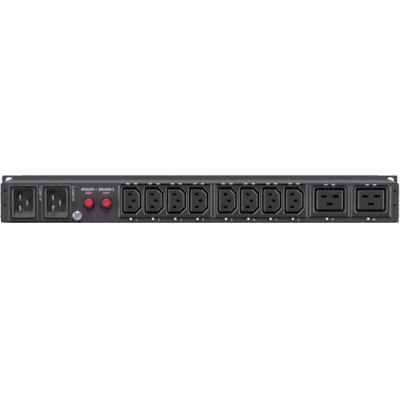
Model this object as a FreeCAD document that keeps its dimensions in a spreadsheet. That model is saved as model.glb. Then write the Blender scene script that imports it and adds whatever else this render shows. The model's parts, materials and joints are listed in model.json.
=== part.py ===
import FreeCAD, Part
import math
import os
import re
import Sketcher
from FreeCAD import Rotation, Vector

# One-unit rack power distribution unit: folded steel case, two blade inlets,
# two push-to-reset breakers, two banks of four small outlets and two large outlets.
# X runs along the outlet panel, -Y points out of the outlet panel and Z is up.
# The origin lies under the middle of the whole unit, on the plane it rests on.

# Driving dimensions in millimetres
SIZES = {
    # Folded case
    "case_width": 440.0,
    "case_height": 44.0,
    "case_depth": 216.0,
    "sheet_gauge": 1.2,
    "bend_inside": 0.5,
    "fold_gap": 0.2,
    "cover_lift": 0.3,
    "lip_height": 14.0,
    "lip_relief": 8.0,
    "lip_front_relief": 50.0,
    # Rack ears
    "ear_span": 482.6,
    "ear_gauge": 2.0,
    "ear_height": 43.6,
    "ear_leg": 42.0,
    "ear_corner": 1.5,
    "slot_span_x": 465.1,
    "slot_span_z": 31.75,
    "slot_length": 8.6,
    "slot_width": 6.8,
    "ear_screw_rear": 32.0,
    "ear_screw_front": 14.0,
    "ear_screw_low": 11.0,
    "ear_screw_high": 32.5,
    # Fasteners
    "ear_screw_radius": 2.0,
    "ear_screw_head": 3.8,
    "ear_screw_cap": 2.2,
    "ear_screw_reach": 8.0,
    "ear_hole_radius": 2.2,
    "clinch_radius": 3.9,
    "clinch_height": 3.0,
    "clinch_bore": 2.05,
    "cover_screw_radius": 1.5,
    "cover_screw_head": 2.8,
    "cover_screw_cap": 1.6,
    "cover_screw_reach": 6.0,
    "cover_hole_radius": 1.7,
    "cover_screw_z": 8.0,
    "cover_screw_pitch": 70.0,
    "cover_screw_shift": 21.0,
    "thread_gap": 0.05,
    "bracket_hole_x": 215.3,
    "bracket_hole_low": 19.4,
    "bracket_hole_high": 34.8,
    "bracket_hole_radius": 1.25,
    # Blade inlets
    "inlet_one_x": -194.5,
    "inlet_two_x": -158.2,
    "inlet_z": 21.8,
    "inlet_flange_width": 32.4,
    "inlet_flange_height": 40.6,
    "inlet_flange_proud": 2.6,
    "inlet_corner": 2.5,
    "inlet_mouth_width": 22.4,
    "inlet_mouth_height": 30.4,
    "inlet_mouth_corner": 2.0,
    "inlet_wall": 1.4,
    "inlet_recess": 20.5,
    "inlet_floor": 3.0,
    "inlet_bevel": 0.6,
    "inlet_rim": 1.6,
    "inlet_groove": 1.4,
    "inlet_groove_depth": 2.0,
    "blade_thick": 2.0,
    "blade_width": 7.2,
    "blade_spread": 13.0,
    "blade_offset": 4.0,
    "blade_set_back": 4.0,
    "blade_tail": 9.0,
    "blade_tip": 0.6,
    "blade_taper": 1.8,
    # Latch tabs beside every inlet and outlet
    "tab_spread": 8.4,
    "tab_width": 3.6,
    "tab_height": 1.4,
    "tab_thick": 0.9,
    "tab_bevel": 0.7,
    "tab_gap": 0.2,
    "tab_arm": 6.0,
    # Outlet mouldings
    "outlet_z": 24.5,
    "flange_top": 41.3,
    "flange_bottom": 5.8,
    "flange_proud": 2.4,
    "flange_bevel": 1.9,
    "mouth_bevel": 0.9,
    "moulding_wall": 1.3,
    "moulding_depth": 22.0,
    "recess_depth": 16.5,
    "cutout_gap": 0.2,
    "bank_one_x": -38.1,
    "bank_two_x": 67.2,
    "bank_width": 104.0,
    "small_pitch": 24.6,
    "small_recess_width": 21.6,
    "small_recess_height": 29.2,
    "small_recess_bevel": 6.2,
    "small_recess_corner": 2.4,
    "small_core_width": 17.4,
    "small_core_height": 24.6,
    "small_core_bevel": 5.2,
    "small_core_corner": 1.6,
    "small_slot_length": 4.2,
    "small_slot_height": 2.7,
    "small_line_spread": 14.0,
    "small_earth_shift": 2.05,
    "large_one_x": 143.4,
    "large_two_x": 188.9,
    "large_width": 45.0,
    "large_z": 25.0,
    "large_flange_top": 40.4,
    "large_flange_bottom": 6.6,
    "large_gap_top": 41.6,
    "large_recess_width": 33.8,
    "large_recess_height": 26.0,
    "large_recess_corner": 2.4,
    "large_core_width": 29.0,
    "large_core_height": 22.0,
    "large_core_corner": 1.8,
    "large_bevel": 1.2,
    "large_slot_length": 6.8,
    "large_slot_height": 2.9,
    "large_line_spread": 13.0,
    "large_earth_shift": 4.2,
    # Contacts behind the outlets
    "face_thick": 3.0,
    "chamber_gap": 0.2,
    "contact_start": 5.0,
    "contact_pinch": 10.0,
    "leaf_gauge": 0.5,
    "leaf_flare": 1.7,
    "leaf_pinch": 0.9,
    "leaf_root": 1.4,
    "bar_height": 5.0,
    "bar_gauge": 0.8,
    "strip_width": 3.0,
    "strip_near": 4.0,
    "strip_far": 8.0,
    # Outlet lamps
    "lamp_z": 4.2,
    "lamp_shift": 1.2,
    "large_lamp_shift": 2.8,
    "lamp_radius": 1.4,
    "lamp_proud": 1.1,
    "lamp_bevel": 0.5,
    "lamp_hole": 1.5,
    "lamp_length": 5.0,
    "lamp_board_gauge": 1.6,
    "lamp_board_bottom": 1.8,
    "lamp_board_top": 6.8,
    "lamp_board_left": -84.0,
    "lamp_board_right": 196.0,
    # Reset breakers
    "breaker_one_x": -122.3,
    "breaker_two_x": -102.9,
    "breaker_z": 22.2,
    "breaker_width": 13.4,
    "breaker_height": 30.0,
    "breaker_depth": 36.0,
    "bushing_radius": 5.5,
    "bushing_proud": 3.0,
    "bushing_gap": 0.1,
    "bushing_bore": 4.95,
    "bushing_depth": 18.0,
    "nut_radius": 6.7,
    "nut_bore": 5.6,
    "nut_height": 2.4,
    "nut_bevel": 0.6,
    "button_radius": 4.6,
    "button_proud": 6.4,
    "button_round": 1.3,
    "button_inside": 5.0,
    "stem_radius": 2.2,
    "stem_end": 13.0,
    "terminal_width": 6.3,
    "terminal_gauge": 0.8,
    "terminal_length": 8.0,
    "terminal_spread": 16.0,
    # Ground screw
    "ground_x": -135.2,
    "ground_z": 7.7,
    "ground_head": 5.1,
    "ground_cap": 3.0,
    "ground_round": 1.2,
    "ground_radius": 2.5,
    "ground_hole": 2.7,
    "ground_reach": 13.0,
    "washer_radius": 4.6,
    "washer_gauge": 0.8,
    "ground_nut_flats": 8.0,
    "ground_nut_height": 4.0,
    "ground_nut_bore": 2.55,
    # Board and what it carries
    "board_width": 410.0,
    "board_depth": 104.0,
    "board_gauge": 1.6,
    "board_floor": 8.0,
    "board_start": 82.0,
    "board_hole_x": 118.0,
    "board_hole_y": 46.0,
    "board_hole_radius": 1.7,
    "standoff_radius": 3.0,
    "standoff_bore": 1.55,
    "board_screw_radius": 1.5,
    "board_screw_head": 2.8,
    "board_screw_cap": 1.8,
    "board_screw_reach": 5.0,
    "relay_width": 12.8,
    "relay_depth": 29.0,
    "relay_height": 15.7,
    "relay_pitch": 20.0,
    "relay_first_x": -20.0,
    "relay_row": 26.0,
    "transfer_width": 28.0,
    "transfer_depth": 32.0,
    "transfer_height": 25.0,
    "transfer_pitch": 36.0,
    "transfer_first_x": -164.0,
    "transfer_row": 30.0,
    "relay_edge": 0.8,
    "transformer_width": 42.0,
    "transformer_depth": 35.0,
    "transformer_height": 29.0,
    "transformer_x": -150.0,
    "transformer_row": 68.0,
    "capacitor_radius": 6.3,
    "capacitor_height": 22.0,
    "capacitor_pitch": 16.0,
    "capacitor_first_x": -108.0,
    "capacitor_row": 74.0,
}

# Counts of what repeats, and tolerances for choosing edges
OUTLETS_PER_BANK = 4
RELAY_COUNT = 10
TRANSFER_COUNT = 4
CAPACITOR_COUNT = 3
BOARD_COLUMNS = 4
QUARTER_TURN = math.pi / 2
HEXAGON_CORNER = 1 / math.cos(math.pi / 6)
NEAR = 1e-4
EDGE_REACH = 0.01

# Places worked out from the driving dimensions
PANEL_Y = "((button_proud - case_depth) / 2)"
FRONT_Y = "((button_proud + case_depth) / 2)"
PAN_WIDTH = "(case_width - 2 * sheet_gauge - 2 * fold_gap)"
PAN_HEIGHT = "(case_height - sheet_gauge - fold_gap)"
BEND_OUTSIDE = "(bend_inside + sheet_gauge)"
BOARD_TOP = "(board_floor + board_gauge)"
BOARD_MID_Y = "({} + board_start + board_depth / 2)".format(PANEL_Y)
BANK_SPAN = "({} * small_pitch)".format(OUTLETS_PER_BANK - 1)
FIRST_OUTLET = "(-1 * {} / 2)".format(BANK_SPAN)
BANK_BODY_WIDTH = "({} + small_recess_width + 2 * moulding_wall)".format(BANK_SPAN)
BANK_BODY_HEIGHT = "(small_recess_height + 2 * moulding_wall)"
LARGE_BODY_WIDTH = "(large_recess_width + 2 * moulding_wall)"
LARGE_BODY_HEIGHT = "(large_recess_height + 2 * moulding_wall)"
INLET_BODY_WIDTH = "(inlet_mouth_width + 2 * inlet_wall)"
INLET_BODY_HEIGHT = "(inlet_mouth_height + 2 * inlet_wall)"
INLET_BACK = "(inlet_recess - inlet_flange_proud + inlet_floor)"
CHAMBER_HEIGHT = "(2 * (leaf_flare + leaf_gauge + chamber_gap))"
CORNERS = ("bl", "br", "tr", "tl")
INLETS = {1: "inlet_one_x", 2: "inlet_two_x"}
BREAKERS = {1: "breaker_one_x", 2: "breaker_two_x"}
BANKS = {1: "bank_one_x", 2: "bank_two_x"}
LARGE_OUTLETS = {1: "large_one_x", 2: "large_two_x"}
LANDINGS = {"line": "strip_far", "neutral": "strip_near", "earth": "strip_far"}

doc = FreeCAD.newDocument("rack_power_unit")
sheet = doc.addObject("Spreadsheet::Sheet", "Sizes")
nodes = []


def fill_sheet():
    """Writes every driving dimension to a cell of its own, under its name."""
    for row, (alias, number) in enumerate(SIZES.items(), start=1):
        sheet.set("A{}".format(row), alias)
        sheet.set("B{}".format(row), str(number))
        sheet.setAlias("B{}".format(row), alias)
    doc.recompute()


def from_sheet(expression):
    """Points the words of an expression at the cells of the sheet."""
    return re.sub(r"[a-z_]+", lambda word: "Sizes." + word.group(0), expression)


def value(expression):
    """Gives the number that an expression stands for."""
    return float(sheet.evalExpression(from_sheet(expression)))


def bind(item, name, expression):
    """Ties a property of an object to the sheet."""
    item.setExpression(name, from_sheet(expression))


def place(item, x, y, z):
    """Ties an object's place to the sheet."""
    for axis, expression in zip("xyz", (x, y, z)):
        bind(item, "Placement.Base." + axis, expression)


def keep(item, label):
    """Names a finished sub-part and puts it on the list to be written."""
    item.Label = label
    nodes.append(item)
    return item


def new_body(label, x="0", y="0", z="0"):
    """Starts a sub-part made from sketches."""
    body = doc.addObject("PartDesign::Body", label)
    body.AllowCompound = True
    place(body, x, y, z)
    return keep(body, label)


def new_sketch(body, plane, name, lift="0"):
    """Starts a sketch on one of the body's own planes, lifted along its normal."""
    sketch = body.newObject("Sketcher::SketchObject", name)
    support = next(item for item in body.Origin.OriginFeatures if item.Role == plane)
    sketch.AttachmentSupport = (support, [""])
    sketch.MapMode = "FlatFace"
    bind(sketch, "AttachmentOffset.Base.z", lift)
    return sketch


def dimension(sketch, kind, references, expression):
    """Adds a dimension to a sketch and ties it to the sheet."""
    index = sketch.addConstraint(Sketcher.Constraint(kind, *references, value(expression)))
    name = "size_{}".format(index)
    sketch.renameConstraint(index, name)
    bind(sketch, "Constraints." + name, expression)


def relate(sketch, kind, *references):
    """Adds a constraint with no size to a sketch."""
    sketch.addConstraint(Sketcher.Constraint(kind, *references))


def round_corner(sketch, turn, corner, before, after, steps, radius):
    """Joins two sides of a rectangle with an arc that is tangent to both."""
    size = value(radius)
    centre = corner + steps[turn] * size - steps[turn - 1] * size
    circle_shape = Part.Circle(centre, Vector(0, 0, 1), size)
    start = QUARTER_TURN * (turn + 2)
    arc = sketch.addGeometry(Part.ArcOfCircle(circle_shape, start, start + QUARTER_TURN))
    relate(sketch, "Tangent", before, 2, arc, 1)
    relate(sketch, "Tangent", arc, 2, after, 1)
    dimension(sketch, "Radius", (arc,), radius)


def bevel_corner(sketch, turn, corner, before, after, steps, leg):
    """Joins two sides of a rectangle with a straight cut of equal legs."""
    size = value(leg)
    start = corner - steps[turn - 1] * size
    end = corner + steps[turn] * size
    cut = sketch.addGeometry(Part.LineSegment(start, end))
    relate(sketch, "Coincident", before, 2, cut, 1)
    relate(sketch, "Coincident", cut, 2, after, 1)
    run = end - start
    for kind, length in (("DistanceX", run.x), ("DistanceY", run.y)):
        sign = "" if length > 0 else "-1 * "
        dimension(sketch, kind, (cut, 1, cut, 2), sign + leg)


def rectangle(sketch, width, height, at_x="0", at_y="0", rounds=None, bevels=None):
    """Draws a rectangle about a point, with any corner rounded or cut."""
    rounds = rounds or {}
    bevels = bevels or {}
    cuts = [value(rounds.get(name) or bevels.get(name) or "0") for name in CORNERS]
    middle = Vector(value(at_x), value(at_y), 0)
    half = Vector(value(width) / 2, value(height) / 2, 0)
    signs = ((-1, -1), (1, -1), (1, 1), (-1, 1))
    corners = [middle + Vector(sx * half.x, sy * half.y, 0) for sx, sy in signs]
    steps = (Vector(1, 0, 0), Vector(0, 1, 0), Vector(-1, 0, 0), Vector(0, -1, 0))
    sides = []
    for turn in range(4):
        start = corners[turn] + steps[turn] * cuts[turn]
        end = corners[(turn + 1) % 4] - steps[turn] * cuts[(turn + 1) % 4]
        sides.append(sketch.addGeometry(Part.LineSegment(start, end)))
    places = (
        ("Horizontal", "DistanceY", "({}) - ({}) / 2".format(at_y, height)),
        ("Vertical", "DistanceX", "({}) + ({}) / 2".format(at_x, width)),
        ("Horizontal", "DistanceY", "({}) + ({}) / 2".format(at_y, height)),
        ("Vertical", "DistanceX", "({}) - ({}) / 2".format(at_x, width)),
    )
    for side, (direction, kind, expression) in zip(sides, places):
        relate(sketch, direction, side)
        dimension(sketch, kind, (-1, 1, side, 1), expression)
    for turn, name in enumerate(CORNERS):
        before = sides[turn - 1]
        after = sides[turn]
        if name in rounds:
            round_corner(sketch, turn, corners[turn], before, after, steps, rounds[name])
        elif name in bevels:
            bevel_corner(sketch, turn, corners[turn], before, after, steps, bevels[name])
        else:
            relate(sketch, "Coincident", before, 2, after, 1)


def all_round(radius):
    """Gives the same rounding to all four corners of a rectangle."""
    return {name: radius for name in CORNERS}


def circle(sketch, radius, at_x="0", at_y="0"):
    """Draws a circle about a point."""
    centre = Vector(value(at_x), value(at_y), 0)
    ring = sketch.addGeometry(Part.Circle(centre, Vector(0, 0, 1), value(radius)))
    dimension(sketch, "DistanceX", (-1, 1, ring, 3), at_x)
    dimension(sketch, "DistanceY", (-1, 1, ring, 3), at_y)
    dimension(sketch, "Radius", (ring,), radius)


def slot_outline(sketch, length, width, at_x, at_y):
    """Draws a slot with round ends that lies along the sketch's first axis."""
    radius = value(width) / 2
    reach = "(({}) - ({})) / 2".format(length, width)
    ends = []
    for sign, start in (("-", QUARTER_TURN), ("+", -QUARTER_TURN)):
        end_x = "({}) {} {}".format(at_x, sign, reach)
        centre = Vector(value(end_x), value(at_y), 0)
        ring = Part.Circle(centre, Vector(0, 0, 1), radius)
        arc = sketch.addGeometry(Part.ArcOfCircle(ring, start, start + 2 * QUARTER_TURN))
        dimension(sketch, "DistanceX", (-1, 1, arc, 3), end_x)
        dimension(sketch, "DistanceY", (-1, 1, arc, 3), at_y)
        dimension(sketch, "Radius", (arc,), "({}) / 2".format(width))
        ends.append((arc, centre))
    (left, left_centre), (right, right_centre) = ends
    rise = Vector(0, radius, 0)
    top = sketch.addGeometry(Part.LineSegment(right_centre + rise, left_centre + rise))
    bottom = sketch.addGeometry(Part.LineSegment(left_centre - rise, right_centre - rise))
    relate(sketch, "Tangent", right, 2, top, 1)
    relate(sketch, "Tangent", top, 2, left, 1)
    relate(sketch, "Tangent", left, 2, bottom, 1)
    relate(sketch, "Tangent", bottom, 2, right, 1)


def closed_outline(sketch, points):
    """Draws a closed outline whose corners are pairs of expressions."""
    corners = [Vector(value(x), value(y), 0) for x, y in points]
    count = len(points)
    lines = []
    for index in range(count):
        segment = Part.LineSegment(corners[index], corners[(index + 1) % count])
        lines.append(sketch.addGeometry(segment))
    for index, (x, y) in enumerate(points):
        relate(sketch, "Coincident", lines[index - 1], 2, lines[index], 1)
        dimension(sketch, "DistanceX", (-1, 1, lines[index], 1), x)
        dimension(sketch, "DistanceY", (-1, 1, lines[index], 1), y)


def pad(body, sketch, length, name, reverse=False, symmetric=False):
    """Adds material from a sketch."""
    feature = body.newObject("PartDesign::Pad", name)
    feature.Profile = sketch
    feature.Reversed = reverse
    if symmetric:
        feature.SideType = "Symmetric"
    bind(feature, "Length", length)
    doc.recompute()
    return feature


def pocket(body, sketch, depth, name, symmetric=False, reverse=False):
    """Removes material under a sketch, and stops if nothing was removed."""
    before = body.Shape.Volume
    feature = body.newObject("PartDesign::Pocket", name)
    feature.Profile = sketch
    feature.Reversed = reverse
    if symmetric:
        feature.SideType = "Symmetric"
    bind(feature, "Length", depth)
    doc.recompute()
    if body.Shape.Volume >= before:
        raise ValueError("{} of {} cuts nothing".format(name, body.Label))
    return feature


def revolve(body, sketch, name):
    """Turns a half section about the sketch's upright axis."""
    feature = body.newObject("PartDesign::Revolution", name)
    feature.Profile = sketch
    feature.ReferenceAxis = (sketch, ["V_Axis"])
    feature.Angle = 360
    doc.recompute()
    return feature


def repeat_along(body, features, sketch, axis, pitch, count, name):
    """Repeats features along an axis of a sketch."""
    pattern = body.newObject("PartDesign::LinearPattern", name)
    pattern.Originals = features
    pattern.Direction = (sketch, [axis])
    bind(pattern, "Length", "{} * {}".format(pitch, count - 1))
    pattern.Occurrences = count
    body.Tip = pattern
    doc.recompute()
    return pattern


def edge_names(feature, test):
    """Lists the edges of a feature that pass a test."""
    edges = enumerate(feature.Shape.Edges, start=1)
    return ["Edge{}".format(index) for index, edge in edges if test(edge)]


def dress(body, kind, feature, size_name, size, test, name):
    """Bevels or rounds the edges of a feature that pass a test."""
    dressing = body.newObject("PartDesign::" + kind, name)
    dressing.Base = (feature, edge_names(feature, test))
    bind(dressing, size_name, size)
    doc.recompute()
    return dressing


def bevel(body, feature, size, test, name):
    """Cuts a chamfer along the chosen edges."""
    return dress(body, "Chamfer", feature, "Size", size, test, name)


def soften(body, feature, radius, test, name):
    """Rounds the chosen edges."""
    return dress(body, "Fillet", feature, "Radius", radius, test, name)


def at_depth(y):
    """Tests whether an edge lies in a plane across the depth of the unit."""
    return lambda edge: abs(edge.BoundBox.YMin - y) < NEAR and abs(edge.BoundBox.YMax - y) < NEAR


def is_level(edge):
    """Tests whether an edge keeps one height."""
    return edge.BoundBox.ZLength < NEAR


def is_upright(edge):
    """Tests whether an edge keeps one place along the panel."""
    return edge.BoundBox.XLength < NEAR


def cylinder(name, radius, height, x, y, z, turn):
    """Makes a cylinder that starts at a point and runs along a turned axis."""
    item = doc.addObject("Part::Cylinder", name)
    bind(item, "Radius", radius)
    bind(item, "Height", height)
    item.Placement.Rotation = turn
    place(item, x, y, z)
    return item


def cut(name, base, tool):
    """Takes one object away from another."""
    item = doc.addObject("Part::Cut", name)
    item.Base = base
    item.Tool = tool
    return item


def fuse(name, base, tool):
    """Joins two objects into one solid."""
    item = doc.addObject("Part::Fuse", name)
    item.Base = base
    item.Tool = tool
    return item


def group(label, members):
    """Gathers like pieces in one sub-part, each still a solid of its own."""
    item = doc.addObject("Part::Compound", label)
    item.Links = members
    return keep(item, label)


def box(name, width, depth, height, x, y, z):
    """Makes a block that stands on a point under the middle of its base."""
    item = doc.addObject("Part::Box", name)
    bind(item, "Length", width)
    bind(item, "Width", depth)
    bind(item, "Height", height)
    place(item, "({}) - ({}) / 2".format(x, width), "({}) - ({}) / 2".format(y, depth), z)
    return item


def softened_box(name, edge, *sizes):
    """Makes a block whose top and upright edges are bevelled."""
    base = box(name + "_block", *sizes)
    doc.recompute()
    floor = base.Shape.BoundBox.ZMin
    size = value(edge)
    item = doc.addObject("Part::Chamfer", name)
    item.Base = base
    chosen = enumerate(base.Shape.Edges, start=1)
    item.Edges = [(index, size, size) for index, line in chosen if line.BoundBox.ZMax > floor + size]
    return item


def lamp_places():
    """Gives the place along the panel of each outlet lamp."""
    places = []
    for bank in BANKS.values():
        for index in range(OUTLETS_PER_BANK):
            first = "{} + {} - lamp_shift".format(bank, FIRST_OUTLET)
            places.append("{} + {} * small_pitch".format(first, index))
    for outlet in LARGE_OUTLETS.values():
        places.append("{} - large_lamp_shift".format(outlet))
    return places


# Folded case

def panel_openings(body):
    """Cuts the outlet panel for the mouldings, lamps, breakers and screws."""
    lift = "-1 * " + PANEL_Y
    gap = " + 2 * cutout_gap"
    mouldings = new_sketch(body, "XZ_Plane", "moulding_openings", lift)
    for x in INLETS.values():
        rectangle(mouldings, INLET_BODY_WIDTH + gap, INLET_BODY_HEIGHT + gap, x, "inlet_z")
    bank_low = "(outlet_z - {} / 2 - cutout_gap)".format(BANK_BODY_HEIGHT)
    large_low = "(large_z - {} / 2 - cutout_gap)".format(LARGE_BODY_HEIGHT)
    for places, width, low, top in (
        (BANKS, BANK_BODY_WIDTH, bank_low, "case_height"),
        (LARGE_OUTLETS, LARGE_BODY_WIDTH, large_low, "large_gap_top"),
    ):
        for x in places.values():
            middle = "({} + {}) / 2".format(top, low)
            rectangle(mouldings, width + gap, "{} - {}".format(top, low), x, middle)
    pocket(body, mouldings, "2 * sheet_gauge", "cut_mouldings")
    holes = new_sketch(body, "XZ_Plane", "round_openings", lift)
    for x in lamp_places():
        circle(holes, "lamp_hole", x, "lamp_z")
    for x in BREAKERS.values():
        circle(holes, "bushing_radius + bushing_gap", x, "breaker_z")
    circle(holes, "ground_hole", "ground_x", "ground_z")
    for sign in ("-1 * ", ""):
        for z in ("bracket_hole_low", "bracket_hole_high"):
            circle(holes, "bracket_hole_radius", sign + "bracket_hole_x", z)
    pocket(body, holes, "2 * sheet_gauge", "cut_round_openings")


def base_pan():
    """Floor, outlet panel and front wall folded from one sheet, with side lips."""
    body = new_body("base_pan")
    low = {"bl": BEND_OUTSIDE, "br": BEND_OUTSIDE}
    middle_y = "button_proud / 2"
    outside = new_sketch(body, "YZ_Plane", "outside_of_folds")
    rectangle(outside, "case_depth", PAN_HEIGHT, middle_y, PAN_HEIGHT + " / 2", low)
    pad(body, outside, PAN_WIDTH, "folded_block", symmetric=True)
    inside = new_sketch(body, "YZ_Plane", "inside_of_folds")
    low = {"bl": "bend_inside", "br": "bend_inside"}
    middle_z = "sheet_gauge + case_height / 2"
    rectangle(inside, "case_depth - 2 * sheet_gauge", "case_height", middle_y, middle_z, low)
    folds = pocket(body, inside, "2 * case_width", "hollow_of_folds", symmetric=True)
    end_x = value(PAN_WIDTH) / 2 - NEAR
    top_z = value(PAN_HEIGHT) - NEAR

    def is_wall_corner(edge):
        return edge.BoundBox.ZMin > top_z and abs(edge.BoundBox.Center.x) > end_x

    soften(body, folds, "bend_inside", is_wall_corner, "wall_corners")
    lip_length = "case_depth - lip_relief - lip_front_relief"
    lip_middle = "{} + lip_relief + ({}) / 2".format(PANEL_Y, lip_length)
    for side, lift, reverse in (
        ("right", PAN_WIDTH + " / 2", True),
        ("left", "-1 * " + PAN_WIDTH + " / 2", False),
    ):
        lip = new_sketch(body, "YZ_Plane", side + "_lip_outline", lift)
        rectangle(lip, lip_length, "lip_height", lip_middle, "lip_height / 2")
        pad(body, lip, "sheet_gauge", side + "_lip", reverse=reverse)
    threads = new_sketch(body, "YZ_Plane", "cover_screw_threads")
    for y in cover_screw_places():
        circle(threads, "cover_screw_radius + thread_gap", y, "cover_screw_z")
    pocket(body, threads, "2 * case_width", "cut_cover_threads", symmetric=True)
    panel_openings(body)


def cover_screw_places():
    """Gives the place along the depth of the three cover screws of a side."""
    return ["{} * cover_screw_pitch - cover_screw_shift".format(step) for step in (-1, 0, 1)]


def ear_screw_places():
    """Gives the place along the depth and the height of the four screws of an ear."""
    rows = ("{} - ear_screw_rear".format(FRONT_Y), "{} - ear_screw_front".format(FRONT_Y))
    return [(y, z) for y in rows for z in ("ear_screw_low", "ear_screw_high")]


def top_cover():
    """Top and both sides folded from one sheet."""
    body = new_body("top_cover", y="button_proud / 2")
    height = "(case_height - cover_lift)"
    outside = new_sketch(body, "XZ_Plane", "outside_of_folds")
    high = {"tl": BEND_OUTSIDE, "tr": BEND_OUTSIDE}
    rectangle(outside, "case_width", height, "0", "cover_lift + {} / 2".format(height), high)
    pad(body, outside, "case_depth", "folded_block", symmetric=True)
    inside = new_sketch(body, "XZ_Plane", "inside_of_folds")
    high = {"tl": "bend_inside", "tr": "bend_inside"}
    top = "case_height / 2 - sheet_gauge"
    rectangle(inside, "case_width - 2 * sheet_gauge", "case_height", "0", top, high)
    pocket(body, inside, "2 * case_depth", "hollow_of_folds", symmetric=True)
    holes = new_sketch(body, "YZ_Plane", "screw_holes")
    for y in cover_screw_places():
        circle(holes, "cover_hole_radius", "{} - button_proud / 2".format(y), "cover_screw_z")
    for y, z in ear_screw_places():
        circle(holes, "ear_hole_radius", "{} - button_proud / 2".format(y), z)
    pocket(body, holes, "2 * case_width", "cut_screw_holes", symmetric=True)


def rack_ear(label, sign, bend_corner):
    """L bracket with two slots for the rack posts, screwed to the side of the case."""
    body = new_body(label, z="(case_height - ear_height) / 2")
    flange = "((ear_span - case_width) / 2)"
    middle_x = "{} * (case_width + {}) / 2".format(sign, flange)
    outside = new_sketch(body, "XY_Plane", "outside_of_bend")
    middle_y = "{} - ear_leg / 2".format(FRONT_Y)
    bend = {bend_corner: "ear_gauge + bend_inside"}
    rectangle(outside, flange, "ear_leg", middle_x, middle_y, bend)
    block = pad(body, outside, "ear_height", "folded_block")
    inside = new_sketch(body, "XY_Plane", "inside_of_bend", "ear_height")
    shifted_x = "{} + {} * ear_gauge".format(middle_x, sign)
    bend = {bend_corner: "bend_inside"}
    rectangle(inside, flange, "ear_leg", shifted_x, "{} - ear_gauge".format(middle_y), bend)
    block = pocket(body, inside, "ear_height", "hollow_of_bend")
    edge_x = sign * value("ear_span") / 2

    def is_tip_corner(edge):
        across = edge.BoundBox.YLength > NEAR and is_upright(edge) and is_level(edge)
        return across and abs(edge.BoundBox.XMin - edge_x) < NEAR

    soften(body, block, "ear_corner", is_tip_corner, "ear_corners")
    slots = new_sketch(body, "XZ_Plane", "rack_slots", "ear_gauge - {}".format(FRONT_Y))
    for step in (-1, 1):
        slot_z = "(ear_height + {} * slot_span_z) / 2".format(step)
        slot_outline(slots, "slot_length", "slot_width", "{} * slot_span_x / 2".format(sign), slot_z)
    pocket(body, slots, "2 * ear_gauge", "cut_rack_slots")
    holes = new_sketch(body, "YZ_Plane", "screw_holes", "{} * (case_width / 2 + ear_gauge)".format(sign))
    for y, z in ear_screw_places():
        circle(holes, "ear_hole_radius", y, "{} - (case_height - ear_height) / 2".format(z))
    pocket(body, holes, "2 * ear_gauge", "cut_screw_holes", reverse=sign < 0)


def side_screw(name, sign, seat, y, z, prefix):
    """Makes a pan-head screw that goes into the side of the case."""
    turn_in = Rotation(Vector(0, 1, 0), -90 * sign)
    turn_out = Rotation(Vector(0, 1, 0), 90 * sign)
    x = "{} * ({})".format(sign, seat)
    shank = cylinder(name + "_shank", prefix + "_radius", prefix + "_reach", x, y, z, turn_in)
    head = cylinder(name + "_head", prefix + "_head", prefix + "_cap", x, y, z, turn_out)
    return fuse(name, head, shank)


def case_fasteners():
    """Screws of the rack ears and the cover, and the clinch nuts behind the ears."""
    ear_screws = []
    clinch_nuts = []
    cover_screws = []
    for side, sign in (("left", -1), ("right", 1)):
        for index, (y, z) in enumerate(ear_screw_places()):
            name = "{}_ear_screw_{}".format(side, index)
            ear_screws.append(side_screw(name, sign, "case_width / 2 + ear_gauge", y, z, "ear_screw"))
            turn = Rotation(Vector(0, 1, 0), -90 * sign)
            x = "{} * (case_width / 2 - sheet_gauge)".format(sign)
            name = "{}_clinch_nut_{}".format(side, index)
            blank = cylinder(name + "_blank", "clinch_radius", "clinch_height", x, y, z, turn)
            bore = cylinder(name + "_bore", "clinch_bore", "clinch_height", x, y, z, turn)
            clinch_nuts.append(cut(name, blank, bore))
        for index, y in enumerate(cover_screw_places()):
            name = "{}_cover_screw_{}".format(side, index)
            screw = side_screw(name, sign, "case_width / 2", y, "cover_screw_z", "cover_screw")
            cover_screws.append(screw)
    group("ear_screws", ear_screws)
    group("ear_clinch_nuts", clinch_nuts)
    group("cover_screws", cover_screws)


# Power inlets

def blade_places():
    """Gives the name and place of the three blades of an inlet about its middle."""
    return (
        ("line", "-1 * blade_offset", "blade_spread / 2"),
        ("neutral", "-1 * blade_offset", "-1 * blade_spread / 2"),
        ("earth", "blade_offset", "0"),
    )


def latch_tabs(body, lift, low, columns):
    """Pads pairs of small tabs with a sloping top at a moulding's edge."""
    tabs = new_sketch(body, "XZ_Plane", "latch_tab_outlines", lift)
    for middle in columns:
        for step in (-1, 1):
            x = "{} + {} * tab_spread / 2".format(middle, step)
            rectangle(tabs, "tab_width", "tab_height", x, "{} + tab_height / 2".format(low))
    blocks = pad(body, tabs, "tab_thick", "latch_tabs")
    front = at_depth(-value("{} + tab_thick".format(lift)))
    top = value("{} + tab_height".format(low))

    def is_slope(edge):
        return front(edge) and is_level(edge) and abs(edge.BoundBox.ZMin - top) < NEAR

    bevel(body, blocks, "tab_bevel", is_slope, "tab_slopes")


def latch_arms(body, low, top, columns):
    """Pads the arms that carry the latch tabs through the gap above a moulding."""
    arms = new_sketch(body, "XZ_Plane", "latch_arm_outlines", "tab_gap")
    for middle in columns:
        for step in (-1, 1):
            x = "{} + {} * tab_spread / 2".format(middle, step)
            rectangle(arms, "tab_width", "{} - ({})".format(top, low), x, "({} + {}) / 2".format(top, low))
    pad(body, arms, "tab_arm", "latch_arms", reverse=True)


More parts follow.
